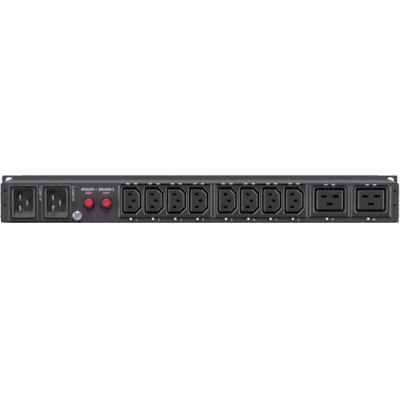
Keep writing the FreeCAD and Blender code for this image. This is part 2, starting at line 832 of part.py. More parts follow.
def inlet_shell(number, x):
    """Moulded shell with a grooved flange on the panel and a deep recess for the cord's connector."""
    body = new_body("inlet_{}_shell".format(number), x, PANEL_Y, "inlet_z")
    front = at_depth(-value("inlet_flange_proud"))
    plate = new_sketch(body, "XZ_Plane", "flange_outline")
    rounds = all_round("inlet_corner")
    rectangle(plate, "inlet_flange_width", "inlet_flange_height", rounds=rounds)
    flange = pad(body, plate, "inlet_flange_proud", "flange")
    bevel(body, flange, "inlet_bevel", front, "flange_bevel")
    groove = new_sketch(body, "XZ_Plane", "groove_outline", "inlet_flange_proud")
    for reach in ("inlet_rim", "(inlet_rim + inlet_groove)"):
        width = "inlet_mouth_width + 2 * " + reach
        height = "inlet_mouth_height + 2 * " + reach
        rectangle(groove, width, height, rounds=all_round("inlet_mouth_corner + " + reach))
    pocket(body, groove, "inlet_groove_depth", "groove")
    shell = new_sketch(body, "XZ_Plane", "shell_outline")
    rounds = all_round("inlet_mouth_corner + inlet_wall")
    rectangle(shell, INLET_BODY_WIDTH, INLET_BODY_HEIGHT, rounds=rounds)
    pad(body, shell, INLET_BACK, "shell", reverse=True)
    mouth = new_sketch(body, "XZ_Plane", "mouth_outline", "inlet_flange_proud")
    rounds = all_round("inlet_mouth_corner")
    rectangle(mouth, "inlet_mouth_width", "inlet_mouth_height", rounds=rounds)
    recess = pocket(body, mouth, "inlet_recess", "recess")
    lips = mouth_edges("inlet_flange_proud", "inlet_mouth_width", "inlet_mouth_height", ["0"])
    bevel(body, recess, "inlet_bevel", lips, "mouth_bevel")
    slits = new_sketch(body, "XZ_Plane", "blade_slits", "inlet_flange_proud")
    for name, blade_x, blade_z in blade_places():
        rectangle(slits, "blade_thick", "blade_width", blade_x, blade_z)
    pocket(body, slits, "2 * inlet_recess", "cut_blade_slits")
    edge = "(inlet_flange_height / 2 - inlet_bevel)"
    latch_tabs(body, "inlet_flange_proud", "{} - tab_height".format(edge), ("0",))
    latch_tabs(body, "inlet_flange_proud", "-1 * {}".format(edge), ("0",))


def inlet_blade(number, inlet_x, name, x, z):
    """Flat contact blade with a tapered tip and a solder tail."""
    label = "inlet_{}_{}_pin".format(number, name)
    body = new_body(label, "{} + {}".format(inlet_x, x), PANEL_Y, "inlet_z + {}".format(z))
    start = "(blade_set_back - inlet_flange_proud)"
    length = "{} + blade_tail - {}".format(INLET_BACK, start)
    section = new_sketch(body, "XZ_Plane", "blade_section", "-1 * " + start)
    rectangle(section, "blade_thick", "blade_width")
    blade = pad(body, section, length, "blade", reverse=True)
    front = at_depth(value(start))

    def is_short_edge(edge):
        return front(edge) and is_level(edge)

    def is_long_edge(edge):
        return front(edge) and is_upright(edge)

    tapered = bevel(body, blade, "blade_taper", is_short_edge, "blade_taper")
    bevel(body, tapered, "blade_tip", is_long_edge, "blade_tip_bevel")


def inlet_strips(number, x):
    """Folded strips that lead from the blades of an inlet to the board."""
    body = new_body("inlet_{}_strips".format(number), x, PANEL_Y, "inlet_z")
    start = "{} + blade_tail".format(INLET_BACK)
    for name, blade_x, blade_z in blade_places():
        board_strip(body, blade_x, blade_z, start, LANDINGS[name], "{} - inlet_z".format(BOARD_TOP))


# Outlets

def outlet_flange(body, width, low, top):
    """Pads a flange that stands proud of the panel, bevelled at its ends and its foot."""
    plate = new_sketch(body, "XZ_Plane", "flange_outline")
    rectangle(plate, width, "{} - ({})".format(top, low), "0", "({} + {}) / 2".format(top, low))
    flange = pad(body, plate, "flange_proud", "flange")
    front = at_depth(-value("flange_proud"))

    def is_end(edge):
        return front(edge) and is_upright(edge)

    def is_foot(edge):
        return front(edge) and is_level(edge) and edge.BoundBox.ZMin < 0

    flange = bevel(body, flange, "flange_bevel", is_end, "flange_end_bevels")
    bevel(body, flange, "mouth_bevel", is_foot, "flange_foot_bevel")


def mouth_edges(proud, width, height, middles):
    """Tests whether a front edge belongs to a recess or to the core that stands in it."""
    front = at_depth(-value(proud))
    reach_x = value(width) / 2 + EDGE_REACH
    reach_z = value(height) / 2 + EDGE_REACH
    places = [value(middle) for middle in middles]

    def is_mouth(edge):
        middle = edge.BoundBox.Center
        near = any(abs(middle.x - place) < reach_x for place in places)
        return front(edge) and near and abs(middle.z) < reach_z

    return is_mouth


def small_slot_places():
    """Gives the name and place of the three slots of a small outlet about its middle."""
    return (
        ("line", "-1 * small_earth_shift", "small_line_spread / 2"),
        ("neutral", "-1 * small_earth_shift", "-1 * small_line_spread / 2"),
        ("earth", "small_earth_shift", "0"),
    )


def large_slot_places():
    """Gives the name and place of the three slots of a large outlet about its middle."""
    return (
        ("line", "-1 * large_line_spread / 2", "large_earth_shift"),
        ("neutral", "large_line_spread / 2", "large_earth_shift"),
        ("earth", "0", "-1 * large_earth_shift"),
    )


def cut_slots(body, length, height, places):
    """Cuts slots in the face of a core and the chambers behind them, open at the back."""
    slots = new_sketch(body, "XZ_Plane", "slot_outlines", "flange_proud")
    chambers = new_sketch(body, "XZ_Plane", "chamber_outlines", "-1 * moulding_depth")
    for x, z in places:
        rectangle(slots, length, height, x, z)
        rectangle(chambers, length + " + 2 * chamber_gap", CHAMBER_HEIGHT, x, z)
    slot = pocket(body, slots, "2 * face_thick", "slots")
    depth = "moulding_depth + flange_proud - face_thick"
    chamber = pocket(body, chambers, depth, "chambers", reverse=True)
    return slots, [slot, chamber]


def outlet_bank(number, x):
    """One moulding of four small outlets, each a core that stands in a recess."""
    body = new_body("outlet_bank_{}".format(number), x, PANEL_Y, "outlet_z")
    outlet_flange(body, "bank_width", "(flange_bottom - outlet_z)", "(flange_top - outlet_z)")
    back = new_sketch(body, "XZ_Plane", "back_outline")
    rectangle(back, BANK_BODY_WIDTH, BANK_BODY_HEIGHT)
    pad(body, back, "moulding_depth", "back", reverse=True)
    ring = new_sketch(body, "XZ_Plane", "recess_outline", "flange_proud")
    round_left = {"bl": "small_recess_corner", "tl": "small_recess_corner"}
    cut_right = {"br": "small_recess_bevel", "tr": "small_recess_bevel"}
    sizes = ("small_recess_width", "small_recess_height")
    rectangle(ring, *sizes, FIRST_OUTLET, "0", round_left, cut_right)
    round_left = {"bl": "small_core_corner", "tl": "small_core_corner"}
    cut_right = {"br": "small_core_bevel", "tr": "small_core_bevel"}
    rectangle(ring, "small_core_width", "small_core_height", FIRST_OUTLET, "0", round_left, cut_right)
    recess = pocket(body, ring, "recess_depth", "recess")
    along = ("H_Axis", "small_pitch", OUTLETS_PER_BANK)
    rings = repeat_along(body, [recess], ring, *along, "four_recesses")
    middles = ["{} + {} * small_pitch".format(FIRST_OUTLET, index) for index in range(OUTLETS_PER_BANK)]
    bevel(body, rings, "mouth_bevel", mouth_edges("flange_proud", *sizes, middles), "mouth_bevels")
    places = []
    for name, slot_x, slot_z in small_slot_places():
        places.append(("{} + {}".format(FIRST_OUTLET, slot_x), slot_z))
    slots, cuts = cut_slots(body, "small_slot_length", "small_slot_height", places)
    repeat_along(body, cuts, slots, *along, "four_sets_of_slots")
    arm_top = "({} - outlet_z)".format(PAN_HEIGHT)
    latch_arms(body, BANK_BODY_HEIGHT + " / 2 - tab_height", arm_top, middles)
    latch_tabs(body, "tab_gap", "{} - tab_gap".format(arm_top), middles)


def large_outlet(number, x):
    """Moulded large outlet with three level slots."""
    body = new_body("large_outlet_{}".format(number), x, PANEL_Y, "large_z")
    outlet_flange(body, "large_width", "(large_flange_bottom - large_z)", "(large_flange_top - large_z)")
    back = new_sketch(body, "XZ_Plane", "back_outline")
    rectangle(back, LARGE_BODY_WIDTH, LARGE_BODY_HEIGHT)
    pad(body, back, "moulding_depth", "back", reverse=True)
    ring = new_sketch(body, "XZ_Plane", "recess_outline", "flange_proud")
    sizes = ("large_recess_width", "large_recess_height")
    rectangle(ring, *sizes, rounds=all_round("large_recess_corner"))
    rounds = all_round("large_core_corner")
    rectangle(ring, "large_core_width", "large_core_height", rounds=rounds)
    recess = pocket(body, ring, "recess_depth", "recess")
    bevel(body, recess, "large_bevel", mouth_edges("flange_proud", *sizes, ["0"]), "mouth_bevels")
    places = [(slot_x, slot_z) for name, slot_x, slot_z in large_slot_places()]
    cut_slots(body, "large_slot_length", "large_slot_height", places)
    arm_top = "(large_gap_top - tab_gap - large_z)"
    latch_arms(body, LARGE_BODY_HEIGHT + " / 2 - tab_height", arm_top, ("0",))
    latch_tabs(body, "tab_gap", "{} - tab_gap".format(arm_top), ("0",))


def contact_clip(body, x, z, length):
    """Pads a clip of two leaves that close on a blade, flared in front and joined at the back."""
    profile = new_sketch(body, "YZ_Plane", "clip_profile", x)
    outer = (
        ("contact_start", "leaf_flare + leaf_gauge"),
        ("contact_pinch", "leaf_pinch + leaf_gauge"),
        ("moulding_depth", "leaf_root + leaf_gauge"),
    )
    inner = (
        ("contact_start", "leaf_flare"),
        ("contact_pinch", "leaf_pinch"),
        ("moulding_depth - leaf_gauge", "leaf_root"),
    )
    points = [(y, "{} + {}".format(z, rise)) for y, rise in outer]
    points += [(y, "{} - ({})".format(z, rise)) for y, rise in reversed(outer)]
    points += [(y, "{} - {}".format(z, rise)) for y, rise in inner]
    points += [(y, "{} + {}".format(z, rise)) for y, rise in reversed(inner)]
    closed_outline(profile, points)
    return profile, pad(body, profile, length, "clip", symmetric=True)


def board_strip(body, x, z, start, landing, board_top):
    """Pads a folded strip that runs back to the board and down to its top."""
    profile = new_sketch(body, "YZ_Plane", "strip_profile", x)
    far = "board_start + {} + bar_gauge / 2".format(landing)
    near = "board_start + {} - bar_gauge / 2".format(landing)
    high = "{} + bar_gauge / 2".format(z)
    low = "{} - bar_gauge / 2".format(z)
    points = [(start, high), (far, high), (far, board_top), (near, board_top), (near, low), (start, low)]
    closed_outline(profile, points)
    return pad(body, profile, "strip_width", "strip", symmetric=True)


def bank_contacts(number, x):
    """Line contacts, one for each outlet, and the bars that link the other contacts."""
    labels = {"line": "line_contacts", "neutral": "neutral_bar", "earth": "earth_bar"}
    board_top = "{} - outlet_z".format(BOARD_TOP)
    for name, slot_x, slot_z in small_slot_places():
        body = new_body("bank_{}_{}".format(number, labels[name]), x, PANEL_Y, "outlet_z")
        first = "{} + {}".format(FIRST_OUTLET, slot_x)
        profile, clip = contact_clip(body, first, slot_z, "small_slot_length")
        strip = board_strip(body, first, slot_z, "moulding_depth", LANDINGS[name], board_top)
        repeated = [clip, strip] if name == "line" else [clip]
        repeat_along(body, repeated, profile, "N_Axis", "small_pitch", OUTLETS_PER_BANK, "four_contacts")
        if name != "line":
            bar = new_sketch(body, "XZ_Plane", "bar_outline", "-1 * moulding_depth")
            length = "{} + small_slot_length".format(BANK_SPAN)
            rectangle(bar, length, "bar_height", slot_x, slot_z)
            pad(body, bar, "bar_gauge", "bar", reverse=True)


def large_contacts(number, x):
    """The three contacts of a large outlet."""
    body = new_body("large_{}_contacts".format(number), x, PANEL_Y, "large_z")
    board_top = "{} - large_z".format(BOARD_TOP)
    for name, slot_x, slot_z in large_slot_places():
        contact_clip(body, slot_x, slot_z, "large_slot_length")
        board_strip(body, slot_x, slot_z, "moulding_depth", LANDINGS[name], board_top)


# Lamps

def outlet_lamp(number, x):
    """Small lamp whose lens shows through the panel."""
    body = new_body("outlet_lamp_{}".format(number), x, PANEL_Y, "lamp_z")
    section = new_sketch(body, "XY_Plane", "half_section")
    points = [
        ("0", "-1 * lamp_proud"),
        ("lamp_radius - lamp_bevel", "-1 * lamp_proud"),
        ("lamp_radius", "lamp_bevel - lamp_proud"),
        ("lamp_radius", "lamp_length"),
        ("0", "lamp_length"),
    ]
    closed_outline(section, points)
    revolve(body, section, "lens")


def lamp_board():
    """Narrow board that carries the lamps behind the panel's lower edge."""
    width = "lamp_board_right - lamp_board_left"
    height = "lamp_board_top - lamp_board_bottom"
    middle = "(lamp_board_right + lamp_board_left) / 2"
    y = "{} + lamp_length + lamp_board_gauge / 2".format(PANEL_Y)
    board = box("lamp_board", width, "lamp_board_gauge", height, middle, y, "lamp_board_bottom")
    keep(board, "lamp_board")


# Breakers and ground screw

def breaker(number, x):
    """Push-to-reset breaker: case and bushing, ring nut and the button that travels."""
    body = new_body("breaker_{}_body".format(number), x, PANEL_Y, "breaker_z")
    case = new_sketch(body, "XZ_Plane", "case_outline", "-1 * sheet_gauge")
    rectangle(case, "breaker_width", "breaker_height")
    pad(body, case, "breaker_depth", "case", reverse=True)
    sleeve = new_sketch(body, "XZ_Plane", "bushing_outline", "-1 * sheet_gauge")
    circle(sleeve, "bushing_radius")
    pad(body, sleeve, "bushing_proud + sheet_gauge", "bushing")
    bore = new_sketch(body, "XZ_Plane", "bore_outline", "bushing_proud")
    circle(bore, "bushing_bore")
    pocket(body, bore, "bushing_depth + bushing_proud", "bore")
    blades = new_sketch(body, "XZ_Plane", "terminal_outlines", "-1 * (sheet_gauge + breaker_depth)")
    for step in (-1, 1):
        z = "{} * terminal_spread / 2".format(step)
        rectangle(blades, "terminal_width", "terminal_gauge", "0", z)
    pad(body, blades, "terminal_length", "terminals", reverse=True)

    nut = new_body("breaker_{}_nut".format(number), x, PANEL_Y, "breaker_z")
    section = new_sketch(nut, "XY_Plane", "half_section")
    points = [
        ("nut_bore", "0"),
        ("nut_bore", "-1 * nut_height"),
        ("nut_radius - nut_bevel", "-1 * nut_height"),
        ("nut_radius", "nut_bevel - nut_height"),
        ("nut_radius", "0"),
    ]
    closed_outline(section, points)
    revolve(nut, section, "ring")

    button = new_body("breaker_{}_button".format(number), x, PANEL_Y, "breaker_z")
    section = new_sketch(button, "XY_Plane", "half_section")
    points = [
        ("0", "-1 * button_proud"),
        ("button_radius", "-1 * button_proud"),
        ("button_radius", "button_inside"),
        ("stem_radius", "button_inside"),
        ("stem_radius", "stem_end"),
        ("0", "stem_end"),
    ]
    closed_outline(section, points)
    plunger = revolve(button, section, "plunger")
    soften(button, plunger, "button_round", at_depth(-value("button_proud")), "button_rounding")


def breaker_strips():
    """Folded strips that lead from the breakers' terminals to the board."""
    body = new_body("breaker_strips", "0", PANEL_Y, "breaker_z")
    start = "sheet_gauge + breaker_depth + terminal_length"
    board_top = "{} - breaker_z".format(BOARD_TOP)
    for x in BREAKERS.values():
        for landing, step in (("strip_far", 1), ("strip_near", -1)):
            board_strip(body, x, "{} * terminal_spread / 2".format(step), start, landing, board_top)


def ground_fixing():
    """Pan-head ground screw with its lock washer and the nut inside the case."""
    washer = new_body("ground_washer", "ground_x", PANEL_Y, "ground_z")
    ring = new_sketch(washer, "XZ_Plane", "ring_outline")
    circle(ring, "washer_radius")
    circle(ring, "ground_hole")
    pad(washer, ring, "washer_gauge", "ring")

    screw = new_body("ground_screw", "ground_x", PANEL_Y, "ground_z")
    section = new_sketch(screw, "XY_Plane", "half_section")
    points = [
        ("0", "-1 * (washer_gauge + ground_cap)"),
        ("ground_head", "-1 * (washer_gauge + ground_cap)"),
        ("ground_head", "-1 * washer_gauge"),
        ("ground_radius", "-1 * washer_gauge"),
        ("ground_radius", "ground_reach"),
        ("0", "ground_reach"),
    ]
    closed_outline(section, points)
    blank = revolve(screw, section, "blank")
    front = at_depth(-value("washer_gauge + ground_cap"))
    soften(screw, blank, "ground_round", front, "head_rounding")

    nut = new_body("ground_nut", "ground_x", PANEL_Y, "ground_z")
    hexagon = new_sketch(nut, "XZ_Plane", "hexagon", "-1 * sheet_gauge")
    across = "ground_nut_flats / 2"
    corner = "{} * {}".format(across, HEXAGON_CORNER)
    points = [
        (corner, "0"),
        (corner + " / 2", across),
        ("-1 * {} / 2".format(corner), across),
        ("-1 * " + corner, "0"),
        ("-1 * {} / 2".format(corner), "-1 * " + across),
        (corner + " / 2", "-1 * " + across),
    ]
    closed_outline(hexagon, points)
    circle(hexagon, "ground_nut_bore")
    pad(nut, hexagon, "ground_nut_height", "nut", reverse=True)


# Board and what it carries

def board_hole_places():
    """Gives the places of the eight fixing holes of the board about its middle."""
    columns = [index - (BOARD_COLUMNS - 1) / 2 for index in range(BOARD_COLUMNS)]
    return [
        ("{} * board_hole_x".format(column), "{} * board_hole_y".format(row))
        for column in columns
        for row in (-1, 1)
    ]


def power_board():
    """Board that holds the relays, on standoffs above the floor of the pan."""
    body = new_body("power_board", "0", BOARD_MID_Y, "board_floor")
    outline = new_sketch(body, "XY_Plane", "board_outline")
    rectangle(outline, "board_width", "board_depth")
    for x, y in board_hole_places():
        circle(outline, "board_hole_radius", x, y)
    pad(body, outline, "board_gauge", "board")
    upright = Rotation()
    downward = Rotation(Vector(1, 0, 0), 180)
    standoffs = []
    screws = []
    for index, (x, shift) in enumerate(board_hole_places()):
        y = "{} + {}".format(BOARD_MID_Y, shift)
        name = "standoff_{}".format(index)
        height = "board_floor - sheet_gauge"
        post = cylinder(name + "_post", "standoff_radius", height, x, y, "sheet_gauge", upright)
        bore = cylinder(name + "_bore", "standoff_bore", height, x, y, "sheet_gauge", upright)
        standoffs.append(cut(name, post, bore))
        name = "board_screw_{}".format(index)
        head = cylinder(name + "_head", "board_screw_head", "board_screw_cap", x, y, BOARD_TOP, upright)
        reach = "board_gauge + board_screw_reach"
        shank = cylinder(name + "_shank", "board_screw_radius", reach, x, y, BOARD_TOP, downward)
        screws.append(fuse(name, head, shank))
    group("board_standoffs", standoffs)
    group("board_screws", screws)


def board_components():
    """Relays, supply transformer and capacitors that stand on the board."""
    start = "({} + board_start)".format(PANEL_Y)
    relays = []
    for index in range(RELAY_COUNT):
        x = "relay_first_x + {} * relay_pitch".format(index)
        sizes = ("relay_width", "relay_depth", "relay_height", x, start + " + relay_row", BOARD_TOP)
        relays.append(softened_box("outlet_relay_{}".format(index), "relay_edge", *sizes))
    group("outlet_relays", relays)
    transfers = []
    for index in range(TRANSFER_COUNT):
        x = "transfer_first_x + {} * transfer_pitch".format(index)
        sizes = ("transfer_width", "transfer_depth", "transfer_height")
        spot = (x, start + " + transfer_row", BOARD_TOP)
        transfers.append(softened_box("transfer_relay_{}".format(index), "relay_edge", *sizes, *spot))
    group("transfer_relays", transfers)
    sizes = ("transformer_width", "transformer_depth", "transformer_height")
    spot = ("transformer_x", start + " + transformer_row", BOARD_TOP)
    keep(softened_box("supply_transformer", "relay_edge", *sizes, *spot), "supply_transformer")
    capacitors = []
    for index in range(CAPACITOR_COUNT):
        x = "capacitor_first_x + {} * capacitor_pitch".format(index)
        y = start + " + capacitor_row"
        sizes = ("capacitor_radius", "capacitor_height")
        name = "filter_capacitor_{}".format(index)
        capacitors.append(cylinder(name, *sizes, x, y, BOARD_TOP, Rotation()))
    group("filter_capacitors", capacitors)


def check_document():
    """Stops if any object failed, or any sub-part has no valid shape."""
    for item in doc.Objects:
        if "Invalid" in item.State or "Error" in item.State:
            raise RuntimeError("{} failed: {}".format(item.Label, item.State))
    for item in nodes:
        if item.Shape.isNull() or not item.Shape.isValid() or not item.Shape.Solids:
            raise RuntimeError("{} has no valid shape".format(item.Label))


def write_parts():
    """Writes each sub-part to a file under its own name."""
    os.makedirs("parts", exist_ok=True)
    for item in nodes:
        item.Shape.exportStep("parts/{}.step".format(item.Label))
        print(item.Label, len(item.Shape.Solids), round(item.Shape.Volume, 1))


fill_sheet()
base_pan()
top_cover()
rack_ear("rack_ear_left", -1, "tr")
rack_ear("rack_ear_right", 1, "tl")
case_fasteners()
for inlet_number, inlet_x in INLETS.items():
    inlet_shell(inlet_number, inlet_x)
    for blade_name, blade_x, blade_z in blade_places():
        inlet_blade(inlet_number, inlet_x, blade_name, blade_x, blade_z)
    inlet_strips(inlet_number, inlet_x)
for bank_number, bank_x in BANKS.items():
    outlet_bank(bank_number, bank_x)
    bank_contacts(bank_number, bank_x)
for large_number, large_x in LARGE_OUTLETS.items():
    large_outlet(large_number, large_x)
    large_contacts(large_number, large_x)
for lamp_number, lamp_x in enumerate(lamp_places(), start=1):
    outlet_lamp(lamp_number, lamp_x)
lamp_board()
for breaker_number, breaker_x in BREAKERS.items():
    breaker(breaker_number, breaker_x)
breaker_strips()
ground_fixing()
power_board()
board_components()
doc.recompute()
check_document()
write_parts()
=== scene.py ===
"""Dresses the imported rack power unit: finishes, edge rounding, printed marks, fasteners, light and camera.

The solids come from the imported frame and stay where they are. Everything here is in metres, in the frame's
own axes: +X runs along the outlet panel to the right, -Y points out of it and +Z is up.
"""

import json
import logging
import math
from collections.abc import Callable, Iterable, Mapping, Sequence
from dataclasses import dataclass, replace
from enum import Enum
from functools import partial

import bmesh
import bpy
from bmesh.types import BMesh, BMVert
from bpy.types import ID, Material, Mesh, Node, NodeSocket, NodeTree, Object
from mathutils import Matrix, Vector

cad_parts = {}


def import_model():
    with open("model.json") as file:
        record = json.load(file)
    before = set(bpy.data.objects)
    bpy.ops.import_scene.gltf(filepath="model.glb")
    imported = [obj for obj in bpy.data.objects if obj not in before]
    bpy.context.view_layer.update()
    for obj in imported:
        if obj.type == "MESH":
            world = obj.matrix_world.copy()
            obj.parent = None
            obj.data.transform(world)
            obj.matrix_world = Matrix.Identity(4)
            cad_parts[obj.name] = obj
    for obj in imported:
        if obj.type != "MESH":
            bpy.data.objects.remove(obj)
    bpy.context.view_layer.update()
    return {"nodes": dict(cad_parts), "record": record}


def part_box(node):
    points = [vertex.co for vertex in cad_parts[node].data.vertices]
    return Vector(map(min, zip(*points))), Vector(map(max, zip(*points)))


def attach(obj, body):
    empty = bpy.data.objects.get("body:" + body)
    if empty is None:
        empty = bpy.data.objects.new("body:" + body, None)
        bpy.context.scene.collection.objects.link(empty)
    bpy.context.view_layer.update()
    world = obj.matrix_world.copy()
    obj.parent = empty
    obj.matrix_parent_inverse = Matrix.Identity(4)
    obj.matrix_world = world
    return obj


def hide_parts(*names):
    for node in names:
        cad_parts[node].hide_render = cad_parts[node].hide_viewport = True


LOG = logging.getLogger("rack_power_unit")

MM = 0.001
WELD_MM = 0.002
CASE = "case"
OUT_OF_PANEL = Vector((0.0, -1.0, 0.0))
LAMPS = [f"outlet_lamp_{number}" for number in range(1, 11)]
# Each of the two supplies has an inlet and a breaker.
SUPPLIES = (1, 2)
WHITE = "#ffffff"
# Most of a noise texture's values lie between these two.
NOISE_LOW, NOISE_HIGH = 0.3, 0.7
# Values that a mesh carries for its finish: a share of painted light or shade, and a lamp's glow.
PAINTED_LIGHT_SHADE = "second_tone"
GLOW = "glow"


class Slot(str, Enum):
    """The record's material slots."""

    CASE_STEEL = "case_steel"
    BLACK_SCREW = "black_screw_steel"
    PLATED_STEEL = "plated_steel"
    MOULDING = "black_moulding"
    BLADE = "plated_blade"
    BRASS = "contact_brass"
    LENS = "lamp_lens"
    BUTTON = "red_button"
    NUT = "black_nut"
    BREAKER = "breaker_case"
    BOARD = "board_laminate"
    RELAY = "relay_case"
    TAPE = "transformer_tape"
    CAN = "capacitor_can"


def linear(hex_code: str) -> tuple[float, float, float, float]:
    """Turn an sRGB hex colour into linear light.

    Args:
        hex_code: Six hex digits after a hash sign.

    Returns:
        Red, green, blue and an alpha of one.
    """
    channels = []
    for place in (1, 3, 5):
        level = int(hex_code[place:place + 2], 16) / 255
        channels.append(level / 12.92 if level <= 0.04045 else ((level + 0.055) / 1.055) ** 2.4)
    return (channels[0], channels[1], channels[2], 1.0)


def cells(size_mm: float) -> float:
    """Scale of a texture whose cells are this many millimetres wide."""
    return 1.0 / (size_mm * MM)


def add_node(tree: NodeTree, kind: str, feeds: Mapping | None = None, **settings) -> Node:
    """Add a node, set its properties and fill its sockets.

    Args:
        tree: The shader or geometry tree that takes the node.
        kind: The node's type.
        feeds: Socket name or number to a plain value, to the output that feeds it, to a node that feeds it
            from its first output, or to a list of those.
        settings: The node's own properties.

    Returns:
        The node.
    """
    node = tree.nodes.new(kind)
    for name, value in settings.items():
        setattr(node, name, value)
    for key, value in (feeds or {}).items():
        socket = node.inputs[key]
        for source in value if isinstance(value, list) else [value]:
            if isinstance(source, Node):
                source = next(output for output in source.outputs if output.enabled)
            if isinstance(source, NodeSocket):
                tree.links.new(source, socket)
            else:
                socket.default_value = source
    return node


AddNode = Callable[..., Node]
Sizes = Mapping[str, NodeSocket]
Steps = Iterable[tuple[float, float]]
Spots = list[tuple[Vector, Vector]]


def white_where_seen(add: AddNode) -> Node:
    """Tell a look at the floor or the room from the light that they scatter.

    Args:
        add: Adds nodes to their tree.

    Returns:
        One where the eye, a mirror or glass looks, and nought for scattered light.
    """
    rays = add("ShaderNodeLightPath").outputs
    mirror = add("ShaderNodeMath", {0: rays["Is Camera Ray"], 1: rays["Is Glossy Ray"]}, operation="MAXIMUM")
    return add("ShaderNodeMath", {0: mirror, 1: rays["Is Transmission Ray"]}, operation="MAXIMUM")


@dataclass(frozen=True)
class Finish:
    """What every finish shares: a name and a material made once."""

    name: str

    def surface(self, add: AddNode, place: NodeSocket) -> Node:
        """Lay the shader's nodes.

        Args:
            add: Adds nodes to the material's tree.
            place: Object coordinates, in metres.

        Returns:
            The shader.
        """
        raise NotImplementedError

    def material(self) -> Material:
        """Make the material on first use.

        Returns:
            The material.
        """
        made = bpy.data.materials.get(self.name)
        if made is not None:
            return made
        made = bpy.data.materials.new(self.name)
        made.use_nodes = True
        made.node_tree.nodes.clear()
        add = partial(add_node, made.node_tree)
        place = add("ShaderNodeTexCoord").outputs["Object"]
        add("ShaderNodeOutputMaterial", {"Surface": self.surface(add, place)})
        return made


@dataclass(frozen=True)
class GrainedFinish(Finish):
    """A painted or moulded skin: close tones in clouds, a relief of two sizes, and a second tone where marked
    that paints light or shade.
    """

    dark: str
    light: str
    cloud_mm: float
    rough: tuple[float, float]
    coarse_mm: float = 1.6
    fine_mm: float = 0.5
    coarse_depth_mm: float = 0.02
    fine_depth_mm: float = 0.008
    index: float = 1.5
    specular: float = 0.5
    # A second colour mixed in where the mesh is marked; it paints highlights, light or shade.
    second: str = ""

    def surface(self, add: AddNode, place: NodeSocket) -> Node:
        """Lay tones, roughness and relief on one principled shader.

        Args:
            add: Adds nodes to the material's tree.
            place: Object coordinates, in metres.

        Returns:
            The shader.
        """
        clouds = add("ShaderNodeTexNoise", {
            "Vector": place, "Scale": cells(self.cloud_mm), "Detail": 4.0, "Roughness": 0.6})
        tone = add("ShaderNodeMix", {
            "Factor": clouds, "A": linear(self.dark), "B": linear(self.light)}, data_type="RGBA")
        if self.second:
            marked = add("ShaderNodeAttribute", attribute_name=PAINTED_LIGHT_SHADE).outputs["Fac"]
            tone = add("ShaderNodeMix", {
                "Factor": marked, "A": tone, "B": linear(self.second)}, data_type="RGBA")
        coarse = add("ShaderNodeTexNoise", {"Vector": place, "Scale": cells(self.coarse_mm)})
        fine = add("ShaderNodeTexVoronoi", {
            "Vector": place, "Scale": cells(self.fine_mm)}, feature="SMOOTH_F1")
        gloss = add("ShaderNodeMapRange", {
            "Value": coarse, "From Min": NOISE_LOW, "From Max": NOISE_HIGH,
            "To Min": self.rough[0], "To Max": self.rough[1]})
        waves = add("ShaderNodeBump", {"Height": coarse, "Distance": self.coarse_depth_mm * MM})
        grit = add("ShaderNodeBump", {
            "Height": fine, "Distance": self.fine_depth_mm * MM, "Normal": waves})
        return add("ShaderNodeBsdfPrincipled", {
            "Base Color": tone, "Roughness": gloss, "IOR": self.index,
            "Specular IOR Level": self.specular, "Normal": grit})


@dataclass(frozen=True)
class MetalFinish(Finish):
    """Bare or plated metal: tool lines along one axis and cloudy patches of gloss."""

    dark: str
    light: str
    rough: tuple[float, float]
    cloud_mm: float = 4.0
    stretch: tuple[float, float, float] = (1.0, 1.0, 1.0)
    line_mm: float = 0.4
    line_depth_mm: float = 0.004

    def surface(self, add: AddNode, place: NodeSocket) -> Node:
        """Lay tool lines and clouds on a metallic shader.

        Args:
            add: Adds nodes to the material's tree.
            place: Object coordinates, in metres.

        Returns:
            The shader.
        """
        drawn = add("ShaderNodeMapping", {"Vector": place, "Scale": self.stretch})
        lines = add("ShaderNodeTexNoise", {"Vector": drawn, "Scale": cells(self.line_mm)})
        clouds = add("ShaderNodeTexNoise", {"Vector": place, "Scale": cells(self.cloud_mm), "Detail": 3.0})
        tone = add("ShaderNodeMix", {
            "Factor": clouds, "A": linear(self.dark), "B": linear(self.light)}, data_type="RGBA")
        gloss = add("ShaderNodeMapRange", {
            "Value": clouds, "From Min": NOISE_LOW, "From Max": NOISE_HIGH,
            "To Min": self.rough[0], "To Max": self.rough[1]})
        relief = add("ShaderNodeBump", {"Height": lines, "Distance": self.line_depth_mm * MM})
        return add("ShaderNodeBsdfPrincipled", {
            "Base Color": tone, "Metallic": 1.0, "Roughness": gloss, "Normal": relief})


@dataclass(frozen=True)
class LitLensFinish(Finish):
    """A diffused lamp lens that is lit: brightest in the middle, greener to its rim."""

    core: str = "#dde2d3"
    rim: str = "#46612f"
    power: float = 0.92
    haze_mm: float = 0.3
    rough: tuple[float, float] = (0.3, 0.45)

    def surface(self, add: AddNode, place: NodeSocket) -> Node:
        """Mix core and rim by the mesh's own glow and let it shine.

        Args:
            add: Adds nodes to the material's tree.
            place: Object coordinates, in metres.

        Returns:
            The shader.
        """
        glow = add("ShaderNodeAttribute", attribute_name=GLOW).outputs["Fac"]
        tone = add("ShaderNodeMix", {
            "Factor": glow, "A": linear(self.rim), "B": linear(self.core)}, data_type="RGBA")
        haze = add("ShaderNodeTexNoise", {"Vector": place, "Scale": cells(self.haze_mm)})
        gloss = add("ShaderNodeMapRange", {
            "Value": haze, "To Min": self.rough[0], "To Max": self.rough[1]})
        return add("ShaderNodeBsdfPrincipled", {
            "Base Color": tone, "Roughness": gloss, "Emission Color": tone, "Emission Strength": self.power})


